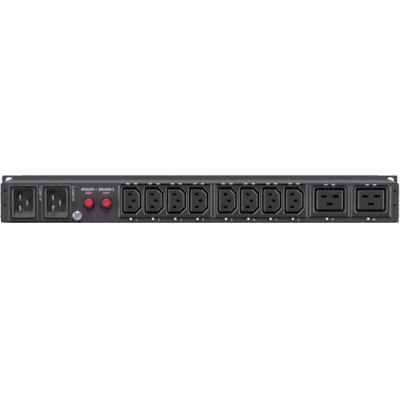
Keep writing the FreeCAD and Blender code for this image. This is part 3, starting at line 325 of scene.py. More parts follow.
@dataclass(frozen=True)
class LaminateFinish(Finish):
    """Glass-fibre board under solder mask: a faint weave and lighter copper runs under the green."""

    mask: str = "#12482c"
    copper_run: str = "#1c6a3e"
    run_mm: float = 5.0
    run_share: float = 0.12
    weave_mm: float = 0.8
    weave_depth_mm: float = 0.01
    rough: float = 0.35

    def surface(self, add: AddNode, place: NodeSocket) -> Node:
        """Lay runs of tone over a woven relief.

        Args:
            add: Adds nodes to the material's tree.
            place: Object coordinates, in metres.

        Returns:
            The shader.
        """
        runs = add("ShaderNodeTexBrick", {
            "Vector": place, "Color1": linear(self.mask), "Color2": linear(self.mask),
            "Mortar": linear(self.copper_run), "Scale": cells(self.run_mm), "Mortar Size": self.run_share})
        weave = add("ShaderNodeTexChecker", {"Vector": place, "Scale": cells(self.weave_mm)}).outputs["Fac"]
        relief = add("ShaderNodeBump", {"Height": weave, "Distance": self.weave_depth_mm * MM})
        return add("ShaderNodeBsdfPrincipled", {
            "Base Color": runs, "Roughness": self.rough, "Normal": relief})


@dataclass(frozen=True)
class PaperFinish(Finish):
    """White studio paper: it keeps the object's shadow and runs out to plain white further off."""

    scattered: str = "#4c4c4c"
    shine: float = 0.1
    near_reach: float = 0.55
    far_reach: float = 0.95

    def surface(self, add: AddNode, place: NodeSocket) -> Node:
        """Mix shaded paper and plain white by the distance from the object.

        Args:
            add: Adds nodes to the material's tree.
            place: Object coordinates, in metres.

        Returns:
            The shader.
        """
        seen = white_where_seen(add)
        tone = add("ShaderNodeMix", {
            "Factor": seen, "A": linear(self.scattered), "B": linear(WHITE)}, data_type="RGBA")
        paper = add("ShaderNodeBsdfDiffuse", {"Color": tone})
        lift = add("ShaderNodeMath", {0: seen, 1: self.shine}, operation="MULTIPLY")
        shine = add("ShaderNodeEmission", {"Color": linear(WHITE), "Strength": lift})
        near = add("ShaderNodeAddShader", {0: paper, 1: shine})
        far = add("ShaderNodeEmission", {"Color": linear(WHITE), "Strength": seen})
        reach = add("ShaderNodeVectorMath", {0: place}, operation="LENGTH")
        share = add("ShaderNodeMapRange", {
            "Value": reach, "From Min": self.near_reach, "From Max": self.far_reach})
        return add("ShaderNodeMixShader", {"Fac": share, 1: near, 2: far})


# The grain of these skins and the tool lines of these metals are really finer than a tenth of a millimetre,
# too fine to show in the render, so their fine sizes are drawn a few times coarser.

# Polyester powder coat on steel: satin charcoal with an orange-peel skin and a dry grit.
POWDER_COAT = GrainedFinish(
    "satin_powder_coat", dark="#413f44", light="#4b494e", cloud_mm=60.0, coarse_mm=2.2, fine_mm=0.9,
    coarse_depth_mm=0.05, fine_depth_mm=0.03, rough=(0.8, 0.94), specular=0.004)
# Glass-filled nylon: black and close-grained, with a pale grey painted highlight on upright chamfers and
# latches, and painted light that greys the inlets' carriers.
MOULDED_NYLON = GrainedFinish(
    "moulded_nylon", dark="#2e2e2e", light="#373737", cloud_mm=14.0, coarse_mm=1.2,
    fine_depth_mm=0.012, rough=(0.4, 0.5), specular=0.05, second="#a9a9ab")
# Black oxide on screw steel: near black with a thin oily sheen.
BLACK_OXIDE = MetalFinish(
    "black_oxide_steel", dark="#2c2c2f", light="#3e3d41", cloud_mm=2.0, rough=(0.35, 0.5))
# Bright zinc on steel: pale grey with a cold lilac cast and dull patches.
ZINC_PLATE = MetalFinish(
    "zinc_plated_steel", dark="#63616b", light="#83818a", cloud_mm=2.5, rough=(0.36, 0.5))
# Nickel on brass blades, drawn along their length: warm bright metal with fine lines.
NICKEL_PLATE = MetalFinish(
    "nickel_plated_brass", dark="#96948f", light="#b8b6b0", stretch=(1.0, 0.05, 1.0), rough=(0.2, 0.32))
# Pressed brass contacts: brown-yellow metal darkened to near black-brown in clouds, a painted shade that
# keeps the deep slots dark.
PRESSED_BRASS = MetalFinish(
    "pressed_brass", dark="#271f14", light="#382d1c", stretch=(0.1, 1.0, 1.0), cloud_mm=6.0,
    rough=(0.4, 0.55))
# Red acetal buttons: bright red in the middle and a deeper red down the rim as painted shade, with a soft
# moulded gloss.
RED_ACETAL = GrainedFinish(
    "red_acetal", dark="#cd1831", light="#e0213c", cloud_mm=5.0, coarse_mm=1.5, fine_mm=0.4,
    coarse_depth_mm=0.008, fine_depth_mm=0.003, rough=(0.3, 0.4), index=1.48, specular=0.25,
    second="#560815")
# Black thermoset of the breakers: dull, with a slightly mottled skin.
BREAKER_CASE = GrainedFinish(
    "black_thermoset", dark="#1c1c1c", light="#262626", cloud_mm=8.0, rough=(0.5, 0.65))
# Black nylon ring nut: dull and close-grained.
NUT_NYLON = GrainedFinish(
    "ring_nut_nylon", dark="#0f0f11", light="#161617", cloud_mm=5.0, coarse_mm=0.8, fine_mm=0.35,
    coarse_depth_mm=0.01, fine_depth_mm=0.006, rough=(0.42, 0.55), specular=0.15)
# Diffused polycarbonate lens over a green lamp: a pale glow with a green rim.
LIT_LENS = LitLensFinish("lit_lamp_lens")
# Green solder mask over woven glass: smooth green with lighter runs.
SOLDER_MASK = LaminateFinish("solder_mask_laminate")
# Blue-black relay covers, moulded smooth.
RELAY_COVER = GrainedFinish(
    "relay_cover_pbt", dark="#1b2440", light="#232d4c", cloud_mm=10.0, rough=(0.3, 0.42))
# Yellow polyester tape round the transformer's winding: glossy, with shallow waves.
WINDING_TAPE = GrainedFinish(
    "winding_tape", dark="#b58d1e", light="#cfa62c", cloud_mm=6.0, coarse_mm=2.5, rough=(0.3, 0.4))
# Shrink sleeve over the capacitors' aluminium cans: dark and half glossy.
CAN_SLEEVE = GrainedFinish(
    "capacitor_sleeve", dark="#20242c", light="#2a2f38", cloud_mm=9.0, rough=(0.28, 0.38))
# Screen-printed ink: an off-white film with pinholes, flat against the paint.
PRINTED_INK = GrainedFinish(
    "printed_ink", dark="#cdccd4", light="#e8e7ee", cloud_mm=1.2, coarse_mm=0.5, fine_mm=0.25,
    coarse_depth_mm=0.004, fine_depth_mm=0.002, rough=(0.55, 0.7))
# The same print in a second ink: a dusty rose for the small words.
ROSE_INK = replace(PRINTED_INK, name="rose_printed_ink", dark="#c9a2ac", light="#e0b5c0")
# Paper sweep under the object: white and matt.
STUDIO_PAPER = PaperFinish("paper_floor")

FINISH_OF_SLOT: dict[Slot, Finish] = {
    Slot.CASE_STEEL: POWDER_COAT,
    Slot.BLACK_SCREW: BLACK_OXIDE,
    Slot.PLATED_STEEL: ZINC_PLATE,
    Slot.MOULDING: MOULDED_NYLON,
    Slot.BLADE: NICKEL_PLATE,
    Slot.BRASS: PRESSED_BRASS,
    Slot.LENS: LIT_LENS,
    Slot.BUTTON: RED_ACETAL,
    Slot.NUT: NUT_NYLON,
    Slot.BREAKER: BREAKER_CASE,
    Slot.BOARD: SOLDER_MASK,
    Slot.RELAY: RELAY_COVER,
    Slot.TAPE: WINDING_TAPE,
    Slot.CAN: CAN_SLEEVE,
}


def put_in_scene(name: str, data: ID) -> Object:
    """Link a mesh, a text, a lamp or a camera to the scene.

    Args:
        name: The object's name.
        data: What it shows.

    Returns:
        The object, at the origin.
    """
    made = bpy.data.objects.new(name, data)
    bpy.context.scene.collection.objects.link(made)
    return made


def piece_from(work: BMesh, name: str, finish: Finish) -> Object:
    """Turn a worked mesh into a piece.

    Args:
        work: The mesh, which is freed.
        name: The piece's name.
        finish: Its finish.

    Returns:
        The piece, at the origin.
    """
    mesh = bpy.data.meshes.new(name)
    work.to_mesh(mesh)
    work.free()
    mesh.materials.append(finish.material())
    return put_in_scene(name, mesh)


def result_of(made: Object) -> Mesh:
    """Plain mesh of what an object's modifiers or letters give."""
    graph = bpy.context.evaluated_depsgraph_get()
    return bpy.data.meshes.new_from_object(made.evaluated_get(graph), depsgraph=graph)


def bake(piece: Object) -> Object:
    """Turn a piece with modifiers into a plain mesh.

    Args:
        piece: The object to evaluate.

    Returns:
        The same object, with its result as its mesh and no modifiers.
    """
    result = result_of(piece)
    result.name = piece.name
    piece.modifiers.clear()
    piece.data = result
    return piece


def finish_piece(piece: Object, body: str, replaced: Sequence[str] = ()) -> None:
    """Ride a finished piece on its body and report it.

    Args:
        piece: The piece, with its place in its mesh.
        body: The body that carries it.
        replaced: The solids that it stands for.
    """
    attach(piece, body)
    if replaced:
        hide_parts(*replaced)
    LOG.info("%s: %d faces on %s", piece.name, len(piece.data.polygons), body)


def seat_of(node: str) -> Vector:
    """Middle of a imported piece's back, where it stands in the panel."""
    low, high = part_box(node)
    return Vector(((low.x + high.x) / 2, high.y, (low.z + high.z) / 2))


def corners(verts: Iterable[BMVert]) -> list[Vector]:
    """Lowest and highest corner of the box round some vertices."""
    places = [vert.co for vert in verts]
    return [Vector([pick(place[axis] for place in places) for axis in range(3)]) for pick in (min, max)]


def welded(mesh: Mesh, gap: float = WELD_MM * MM) -> BMesh:
    """Copy a mesh and merge its doubles.

    Args:
        mesh: The mesh, which stays as it is.
        gap: How far apart doubles may be.

    Returns:
        The merged copy.
    """
    work = bmesh.new()
    work.from_mesh(mesh)
    bmesh.ops.remove_doubles(work, verts=work.verts, dist=gap)
    return work


def solids_of(solid: Object) -> list[list[Vector]]:
    """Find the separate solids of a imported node.

    Args:
        solid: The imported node.

    Returns:
        The lowest and highest corner of each solid.
    """
    work = welded(solid.data)
    left = set(work.verts)
    boxes = []
    while left:
        front = [left.pop()]
        island = list(front)
        while front:
            near = [edge.other_vert(vert) for vert in front for edge in vert.link_edges]
            front = [vert for vert in dict.fromkeys(near) if vert in left]
            left.difference_update(front)
            island.extend(front)
        boxes.append(corners(island))
    work.free()
    return sorted(boxes, key=lambda box: tuple(box[0]))


def lathe(profile: list[tuple[float, float]], around: int) -> BMesh:
    """Turn a profile about Z.

    Args:
        profile: Radius and height in millimetres, from one pole or rim to the other.
        around: Steps round the axis.

    Returns:
        The turned mesh, in metres.
    """
    work = bmesh.new()
    turns = [math.tau * step / around for step in range(around)]
    rings = []
    for radius, height in profile:
        rings.append([
            work.verts.new((radius * MM * math.cos(turn), radius * MM * math.sin(turn), height * MM))
            for turn in turns[:around if radius else 1]])
    for lower, upper in zip(rings, rings[1:]):
        for step in range(around):
            after = (step + 1) % around
            loop = [lower[step % len(lower)], lower[after % len(lower)],
                    upper[after % len(upper)], upper[step % len(upper)]]
            kept = list(dict.fromkeys(loop))
            if len(kept) > 2:
                work.faces.new(kept)
    bmesh.ops.recalc_face_normals(work, faces=work.faces)
    for face in work.faces:
        face.smooth = True
    return work


@dataclass
class RoundedCopy:
    """A solid's copy with its sharp edges rounded, as a coat or a mould leaves them."""

    node: str
    radius_mm: float
    sharp_deg: float = 24.0
    steps: int = 2
    flat_deg: float = 0.6

    def build(self, solid: Object, finish: Finish) -> Object:
        """Copy the solid's mesh, join its flat faces and round its edges.

        Args:
            solid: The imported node.
            finish: The finish it takes.

        Returns:
            The rounded piece.
        """
        work = welded(solid.data)
        bmesh.ops.dissolve_limit(
            work, angle_limit=math.radians(self.flat_deg), verts=work.verts, edges=work.edges)
        for face in work.faces:
            face.smooth = True
        piece = piece_from(work, self.node + "_skin", finish)
        edge = piece.modifiers.new("rounded_edges", "BEVEL")
        edge.limit_method = "ANGLE"
        edge.angle_limit = math.radians(self.sharp_deg)
        edge.width = self.radius_mm * MM
        edge.segments = self.steps
        piece.modifiers.new("flat_faces", "WEIGHTED_NORMAL")
        return bake(piece)


@dataclass(frozen=True)
class PointForm:
    """A form that a geometry tree sets at points, each with an aim of its own."""

    piece_name: str
    finish: Finish
    around: int = 40
    sharp_deg: float = 35.0
    roll: float = 0.0
    seed: int = 11

    def sizes(self) -> dict[str, float]:
        """Named inputs of the tree, in millimetres."""
        raise NotImplementedError

    def form(self, add: AddNode, size: Sizes) -> Node:
        """Lay the nodes of one form, which stands on the origin and points up Z.

        Args:
            add: Adds nodes to the tree.
            size: The tree's named inputs.

        Returns:
            The form's geometry.
        """
        raise NotImplementedError

    def lift(self, add: AddNode, mesh: Node, height: NodeSocket, share: float) -> Node:
        """Move a mesh up by a share of a height.

        Args:
            add: Adds nodes to the tree.
            mesh: What moves.
            height: The height.
            share: The share of it.

        Returns:
            The moved mesh.
        """
        part = add("ShaderNodeMath", {0: height, 1: share}, operation="MULTIPLY")
        step = add("ShaderNodeCombineXYZ", {"Z": part})
        return add("GeometryNodeTransform", {"Geometry": mesh, "Translation": step})

    def crowned(self, add: AddNode, radius: NodeSocket, wall: NodeSocket, rise: NodeSocket,
                steps: Steps) -> Node:
        """Stand a round blank on the origin and draw its top up and in, step by step.

        Args:
            add: Adds nodes to the tree.
            radius: The blank's radius.
            wall: Its height.
            rise: Height of the whole crown.
            steps: For each step its share of the rise and how far its ring shrinks.

        Returns:
            The crowned blank.
        """
        blank = add("GeometryNodeMeshCylinder", {"Vertices": self.around, "Radius": radius, "Depth": wall})
        top = blank.outputs["Top"]
        mesh = self.lift(add, blank, wall, 0.5)
        for share, shrink in steps:
            height = add("ShaderNodeMath", {0: rise, 1: share}, operation="MULTIPLY")
            drawn = add("GeometryNodeExtrudeMesh", {
                "Mesh": mesh, "Selection": top, "Offset Scale": height, "Individual": False})
            top = drawn.outputs["Top"]
            mesh = add("GeometryNodeScaleElements", {"Geometry": drawn, "Selection": top, "Scale": shrink})
        return mesh

    def set_out(self, add: AddNode, entry: Node, form: Node) -> None:
        """Set the form at every point, shade it, give it its finish and end the tree.

        Args:
            add: Adds nodes to the tree.
            entry: The tree's input node.
            form: One form.
        """
        aim = add("GeometryNodeInputNamedAttribute", {"Name": "aim"}, data_type="FLOAT_VECTOR")
        turned = add("FunctionNodeAlignRotationToVector", {"Vector": aim}, axis="Z")
        chance = add("FunctionNodeRandomValue", {"Min": -self.roll, "Max": self.roll, "Seed": self.seed})
        spin = add("ShaderNodeCombineXYZ", {"Z": chance})
        rolled = add("FunctionNodeEulerToRotation", {"Euler": spin})
        stance = add("FunctionNodeRotateRotation", {
            "Rotation": turned, "Rotate By": rolled}, rotation_space="LOCAL")
        placed = add("GeometryNodeInstanceOnPoints", {
            "Points": entry.outputs["Points"], "Instance": form, "Rotation": stance})
        real = add("GeometryNodeRealizeInstances", {"Geometry": placed})
        smooth = add("GeometryNodeSetShadeSmooth", {"Geometry": real})
        bend = add("GeometryNodeInputMeshEdgeAngle")
        sharp = add("FunctionNodeCompare", {
            0: bend, 1: math.radians(self.sharp_deg)}, operation="GREATER_THAN")
        creased = add("GeometryNodeSetShadeSmooth", {
            "Geometry": smooth, "Selection": sharp, "Shade Smooth": False}, domain="EDGE")
        dressed = add("GeometryNodeSetMaterial", {"Geometry": creased, "Material": entry.outputs["Finish"]})
        add("NodeGroupOutput", {"Geometry": dressed})

    def build(self, spots: Spots) -> Object:
        """Grow the tree, run it at the spots and keep the result as a plain mesh.

        Args:
            spots: Place and aim of each form.

        Returns:
            The finished piece.
        """
        tree = bpy.data.node_groups.new(self.piece_name, "GeometryNodeTree")
        tree.interface.new_socket("Points", in_out="INPUT", socket_type="NodeSocketGeometry")
        tree.interface.new_socket("Geometry", in_out="OUTPUT", socket_type="NodeSocketGeometry")
        chosen = {}
        for label, size_mm in self.sizes().items():
            socket = tree.interface.new_socket(label, in_out="INPUT", socket_type="NodeSocketFloat")
            chosen[socket.identifier] = size_mm * MM
        socket = tree.interface.new_socket("Finish", in_out="INPUT", socket_type="NodeSocketMaterial")
        chosen[socket.identifier] = self.finish.material()
        add = partial(add_node, tree)
        entry = add("NodeGroupInput")
        self.set_out(add, entry, self.form(add, entry.outputs))
        mesh = bpy.data.meshes.new(self.piece_name)
        mesh.from_pydata([tuple(place) for place, aim in spots], [], [])
        aims = mesh.attributes.new("aim", "FLOAT_VECTOR", "POINT")
        for row, (place, aim) in zip(aims.data, spots):
            row.vector = aim
        piece = put_in_scene(self.piece_name, mesh)
        modifier = piece.modifiers.new(self.piece_name, "NODES")
        modifier.node_group = tree
        for identifier, value in chosen.items():
            modifier[identifier] = value
        return bake(piece)


@dataclass(frozen=True)
class PanHead(PointForm):
    """A pan-head screw with a recess of one or two bars and a rolled thread."""

    head_mm: float = 3.8
    cap_mm: float = 2.2
    collar_share: float = 0.4
    crown_steps: Steps = ((0.5, 0.95), (0.3, 0.84), (0.2, 0.66))
    bar_mm: float = 4.4
    cross_mm: float = 4.4
    slit_mm: float = 0.9
    depth_mm: float = 1.1
    turn: float = 0.0
    shank_mm: float = 2.0
    reach_mm: float = 8.0
    pitch_mm: float = 0.7
    ridge_share: float = 0.3
    ridge_sides: int = 4
    thread_start: float = 0.98
    thread_steps: int = 14

    def sizes(self) -> dict[str, float]:
        """Give head, recess, shank and thread.

        Returns:
            Named inputs of the tree, in millimetres.
        """
        ridge_mm = self.pitch_mm * self.ridge_share
        return {
            "Head Radius": self.head_mm, "Collar": self.cap_mm * self.collar_share,
            "Crown": self.cap_mm * (1.0 - self.collar_share), "Bar": self.bar_mm, "Cross Bar": self.cross_mm,
            "Slit": self.slit_mm, "Recess Depth": self.depth_mm * 2, "Core Radius": self.shank_mm - ridge_mm,
            "Thread": ridge_mm, "Reach": self.reach_mm, "Thread Run": self.reach_mm - self.pitch_mm,
        }

    def form(self, add: AddNode, size: Sizes) -> Node:
        """Crown a blank, cut its recess and add the threaded shank.

        Args:
            add: Adds nodes to the tree.
            size: The tree's named inputs.

        Returns:
            The screw.
        """
        head = self.crowned(add, size["Head Radius"], size["Collar"], size["Crown"], self.crown_steps)
        for bar, quarter in ((size["Bar"], 0.0), (size["Cross Bar"], math.pi / 2)):
            sides = add("ShaderNodeCombineXYZ", {"X": bar, "Y": size["Slit"], "Z": size["Recess Depth"]})
            block = add("GeometryNodeMeshCube", {"Size": sides})
            spun = add("GeometryNodeTransform", {
                "Geometry": block, "Rotation": (0.0, 0.0, self.turn + quarter)})
            raised = self.lift(add, self.lift(add, spun, size["Crown"], 1.0), size["Collar"], 1.0)
            head = add("GeometryNodeMeshBoolean", {
                "Mesh 1": head, "Mesh 2": [raised]}, operation="DIFFERENCE", solver="EXACT")
        core = add("GeometryNodeMeshCylinder", {
            "Vertices": self.around // 2, "Radius": size["Core Radius"], "Depth": size["Reach"]})
        shank = self.lift(add, core, size["Reach"], -0.5)
        helix = add("GeometryNodeCurveSpiral", {
            "Resolution": self.thread_steps, "Rotations": self.reach_mm / self.pitch_mm - 1.0,
            "Start Radius": size["Core Radius"], "End Radius": size["Core Radius"],
            "Height": size["Thread Run"]})
        ridge = add("GeometryNodeCurvePrimitiveCircle", {
            "Resolution": self.ridge_sides, "Radius": size["Thread"]})
        rolled = add("GeometryNodeCurveToMesh", {"Curve": helix, "Profile Curve": ridge, "Fill Caps": True})
        thread = self.lift(add, rolled, size["Reach"], -self.thread_start)
        return add("GeometryNodeJoinGeometry", {"Geometry": [head, shank, thread]})


@dataclass(frozen=True)
class RibbedNut(PointForm):
    """A thin ring nut with grip ribs round its rim."""

    bore_mm: float = 5.6
    body_mm: float = 6.45
    height_mm: float = 2.4
    edge_mm: float = 0.6
    edge_steps: Steps = ((0.55, 0.24), (0.45, 0.48))
    drill_mm: float = 7.2
    rib_mm: float = 0.26
    ribs: int = 30
    rib_sides: int = 8

    def sizes(self) -> dict[str, float]:
        """Give ring, drill and ribs.

        Returns:
            Named inputs of the tree, in millimetres.
        """
        return {
            "Bore Radius": self.bore_mm, "Body Radius": self.body_mm, "Rib Radius": self.rib_mm,
            "Wall": self.height_mm - self.edge_mm, "Edge": self.edge_mm, "Through": self.drill_mm,
        }

    def form(self, add: AddNode, size: Sizes) -> Node:
        """Bevel a blank, bore it and set the ribs.

        Args:
            add: Adds nodes to the tree.
            size: The tree's named inputs.

        Returns:
            The nut.
        """
        bevel = [(share, 1.0 - inset_mm / self.body_mm) for share, inset_mm in self.edge_steps]
        disc = self.crowned(add, size["Body Radius"], size["Wall"], size["Edge"], bevel)
        drill = add("GeometryNodeMeshCylinder", {
            "Vertices": self.around, "Radius": size["Bore Radius"], "Depth": size["Through"]})
        ring = add("GeometryNodeMeshBoolean", {
            "Mesh 1": disc, "Mesh 2": [drill]}, operation="DIFFERENCE", solver="EXACT")
        rim = add("GeometryNodeCurvePrimitiveCircle", {
            "Resolution": self.ribs, "Radius": size["Body Radius"]})
        marks = add("GeometryNodeCurveToPoints", {"Curve": rim, "Count": self.ribs}, mode="COUNT")
        bar = add("GeometryNodeMeshCylinder", {
            "Vertices": self.rib_sides, "Radius": size["Rib Radius"], "Depth": size["Wall"]})
        rib = self.lift(add, bar, size["Wall"], 0.5)
        ribs = add("GeometryNodeInstanceOnPoints", {"Points": marks, "Instance": rib})
        real = add("GeometryNodeRealizeInstances", {"Geometry": ribs})
        return add("GeometryNodeJoinGeometry", {"Geometry": [ring, real]})


@dataclass(frozen=True)
class LampLens(PointForm):
    """A round-nosed lamp lens that carries its own glow from the middle to the rim."""

    radius_mm: float = 1.4
    length_mm: float = 6.1
    nose_mm: float = 0.9
    nose_steps: Steps = ((0.38, 0.94), (0.27, 0.86), (0.19, 0.74), (0.11, 0.55), (0.05, 0.2))

    def sizes(self) -> dict[str, float]:
        """Barrel and nose."""
        return {"Radius": self.radius_mm, "Barrel": self.length_mm - self.nose_mm, "Nose": self.nose_mm}

    def form(self, add: AddNode, size: Sizes) -> Node:
        """Round the barrel's nose and store the glow.

        Args:
            add: Adds nodes to the tree.
            size: The tree's named inputs.

        Returns:
            The lens.
        """
        nose = self.crowned(add, size["Radius"], size["Barrel"], size["Nose"], self.nose_steps)
        spot = add("GeometryNodeInputPosition")
        across = add("ShaderNodeVectorMath", {0: spot, 1: (1.0, 1.0, 0.0)}, operation="MULTIPLY")
        reach = add("ShaderNodeVectorMath", {0: across}, operation="LENGTH")
        glow = add("ShaderNodeMapRange", {
            "Value": reach, "From Max": size["Radius"], "To Min": 1.0, "To Max": 0.0})
        return add("GeometryNodeStoreNamedAttribute", {"Geometry": nose, "Name": GLOW, "Value": glow})


@dataclass
class SheetCase:
    """The folded case with its rack ears and the screws that hold them."""

    fold_edge_mm: float = 0.25
    ear_edge_mm: float = 0.3
    ear_screw: PanHead = PanHead("ear_pan_screws", BLACK_OXIDE, roll=math.pi)
    cover_screw: PanHead = PanHead(
        "cover_pan_screws", BLACK_OXIDE, roll=math.pi, head_mm=2.8, cap_mm=1.6, shank_mm=1.5, reach_mm=6.0,
        pitch_mm=0.5, bar_mm=3.2, cross_mm=3.2, slit_mm=0.7, depth_mm=0.8)

    def screw_spots(self, solid: Object, cap_mm: float) -> Spots:
        """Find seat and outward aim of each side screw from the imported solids.

        Args:
            solid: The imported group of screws.
            cap_mm: Height of a head.

        Returns:
            Place and aim of each screw.
        """
        spots = []
        for low, high in solids_of(solid):
            middle = (low + high) / 2
            side = math.copysign(1.0, middle.x)
            seat = max(abs(low.x), abs(high.x)) - cap_mm * MM
            spots.append((Vector((side * seat, middle.y, middle.z)), Vector((side, 0.0, 0.0))))
        return spots

    def dress(self, nodes: Mapping[str, Object]) -> None:
        """Round the sheet's edges and set the screws.

        Args:
            nodes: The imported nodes.
        """
        edges = {"base_pan": self.fold_edge_mm, "top_cover": self.fold_edge_mm,
                 "rack_ear_left": self.ear_edge_mm, "rack_ear_right": self.ear_edge_mm}
        for node, edge_mm in edges.items():
            skin = RoundedCopy(node, edge_mm).build(nodes[node], POWDER_COAT)
            finish_piece(skin, CASE, [node])
        for node, screw in (("ear_screws", self.ear_screw), ("cover_screws", self.cover_screw)):
            piece = screw.build(self.screw_spots(nodes[node], screw.cap_mm))
            finish_piece(piece, CASE, [node])


@dataclass
class Mouldings:
    """The nylon shells of the inlets and outlets."""

    edge_mm: float = 0.25
    inlet_edge_mm: float = 0.04
    rubbed: float = 0.27
    latch_rubbed: float = 0.55
    lean: float = 0.35
    latch_mm: float = 1.6
    carrier_wall: float = 0.25
    lip_mm: float = 3.0
    mouth_mm: tuple[float, float] = (22.6, 30.6)
    inlets: tuple[str, ...] = ("inlet_1_shell", "inlet_2_shell")
    outlets: tuple[str, ...] = ("outlet_bank_1", "outlet_bank_2", "large_outlet_1", "large_outlet_2")

    def mark(self, skin: Object, node: str) -> None:
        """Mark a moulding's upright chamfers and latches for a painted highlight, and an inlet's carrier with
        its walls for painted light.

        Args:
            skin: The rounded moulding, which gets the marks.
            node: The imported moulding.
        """
        low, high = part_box(node)
        wide, tall = (size * MM / 2 for size in self.mouth_mm)
        marks = skin.data.attributes.new(PAINTED_LIGHT_SHADE, "FLOAT", "FACE")
        for face, mark in zip(skin.data.polygons, marks.data):
            faces_out = face.normal.y < -self.lean
            off = face.center - (low + high) / 2
            behind_lip = face.center.y > low.y + self.lip_mm * MM
            # An inlet's carrier is painted pale grey as painted light, fully on its back and partly on its
            # walls; upright chamfers and latches get a painted highlight.
            if node in self.inlets and behind_lip and abs(off.x) < wide and abs(off.z) < tall:
                mark.value = 1.0 if faces_out else self.carrier_wall
            elif faces_out and abs(face.normal.x) > self.lean:
                mark.value = self.rubbed
            elif faces_out and node in self.outlets and face.center.z > high.z - self.latch_mm * MM:
                mark.value = self.latch_rubbed

    def dress(self, nodes: Mapping[str, Object]) -> None:
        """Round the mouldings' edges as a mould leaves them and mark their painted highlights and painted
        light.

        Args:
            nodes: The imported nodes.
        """
        for node in self.inlets + self.outlets:
            # An inlet's latch tabs stand so close to its mouth that a wider round would run over them.
            edge_mm = self.inlet_edge_mm if node in self.inlets else self.edge_mm
            skin = RoundedCopy(node, edge_mm).build(nodes[node], MOULDED_NYLON)
            self.mark(skin, node)
            finish_piece(skin, CASE, [node])


@dataclass
class Breakers:
    """The two push-to-reset breakers: ribbed ring nuts and dished buttons."""

    rim_mm: float = 1.3
    dish_mm: float = 0.45
    dish_radius_mm: float = 3.0
    stem_mm: float = 2.2
    stem_run_mm: float = 8.0
    press_share: float = 0.62
    around: int = 64
    corner_steps: int = 6
    nut: RibbedNut = RibbedNut("breaker_ribbed_nuts", NUT_NYLON, around=72)

    def button_profile(self, radius: float, length: float) -> list[tuple[float, float]]:
        """Draw the half section of a button, from the middle of its face to the end of its stem.

        Args:
            radius: The button's radius in millimetres.
            length: Its length with the stem.

        Returns:
            Radius and height in millimetres, the height from the stem's end.
        """
        profile = [(0.0, length - self.dish_mm)]
        for step in range(1, self.corner_steps + 1):
            share = step / self.corner_steps
            sag = self.dish_mm * (0.5 + 0.5 * math.cos(math.pi * share))
            profile.append((self.dish_radius_mm * share, length - sag))
        for step in range(self.corner_steps + 1):
            angle = math.pi / 2 * step / self.corner_steps
            reach = radius - self.rim_mm + self.rim_mm * math.sin(angle)
            profile.append((reach, length - self.rim_mm + self.rim_mm * math.cos(angle)))
        stem = [(self.stem_mm, self.stem_run_mm), (self.stem_mm, 0.0), (0.0, 0.0)]
        return profile + [(radius, self.stem_run_mm)] + stem

    def button(self, node: str) -> Object:
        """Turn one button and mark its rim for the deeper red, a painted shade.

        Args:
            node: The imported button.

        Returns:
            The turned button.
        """
        low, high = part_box(node)
        radius = (high.x - low.x) / 2
        seat = seat_of(node)
        work = lathe(self.button_profile(radius / MM, (high.y - low.y) / MM), self.around)
        work.transform(Matrix.Translation(seat) @ Matrix.Rotation(math.pi / 2, 4, "X"))
        piece = piece_from(work, node + "_turned", RED_ACETAL)
        # Painted shade: the red deepens from a share of the radius out to the rim.
        marks = piece.data.attributes.new(PAINTED_LIGHT_SHADE, "FLOAT", "POINT")
        for vert, mark in zip(piece.data.vertices, marks.data):
            off = math.hypot(vert.co.x - seat.x, vert.co.z - seat.z)
            mark.value = min(max((off / radius - self.press_share) / (1.0 - self.press_share), 0.0), 1.0)
        return piece

    def dress(self) -> None:
        """Set both nuts and both buttons."""
        nuts = [f"breaker_{number}_nut" for number in SUPPLIES]
        piece = self.nut.build([(seat_of(node), OUT_OF_PANEL) for node in nuts])
        finish_piece(piece, CASE, nuts)
        for number in SUPPLIES:
            node = f"breaker_{number}_button"
            finish_piece(self.button(node), f"reset_button_{number}", [node])


@dataclass
class GroundPoint:
    """The slotted ground screw on its washer."""

    node: str = "ground_screw"
    screw: PanHead = PanHead(
        "ground_slotted_screw", ZINC_PLATE, around=64, head_mm=5.1, cap_mm=3.0, shank_mm=2.5, pitch_mm=0.8,
        bar_mm=11.22, cross_mm=1.17, slit_mm=1.3, depth_mm=1.3, turn=math.radians(40.0))

    def dress(self) -> None:
        """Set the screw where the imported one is."""
        back = seat_of(self.node)
        seat = Vector((back.x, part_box(self.node)[0].y + self.screw.cap_mm * MM, back.z))
        screw = replace(self.screw, reach_mm=(back.y - seat.y) / MM)
        finish_piece(screw.build([(seat, OUT_OF_PANEL)]), CASE, [self.node])


@dataclass
class OutletLamps:
    """The lit lamps under the outlets."""

    lens: LampLens = LampLens("outlet_lamp_lenses", LIT_LENS, around=24)

    def dress(self) -> None:
        """Set a lens at every lamp."""
        piece = self.lens.build([(seat_of(node), OUT_OF_PANEL) for node in LAMPS])
        finish_piece(piece, CASE, LAMPS)


@dataclass(frozen=True)
class Lettering:
    """A size of print: height of its capitals and step between letters, against the font's own."""

    height_mm: float
    spacing: float = 1.0


@dataclass(frozen=True)
class Word:
    """A printed word or number: its lettering, its middle on the panel in metres and its turn."""

    text: str
    lettering: Lettering
    x: float
    z: float
    turn: float = 0.0


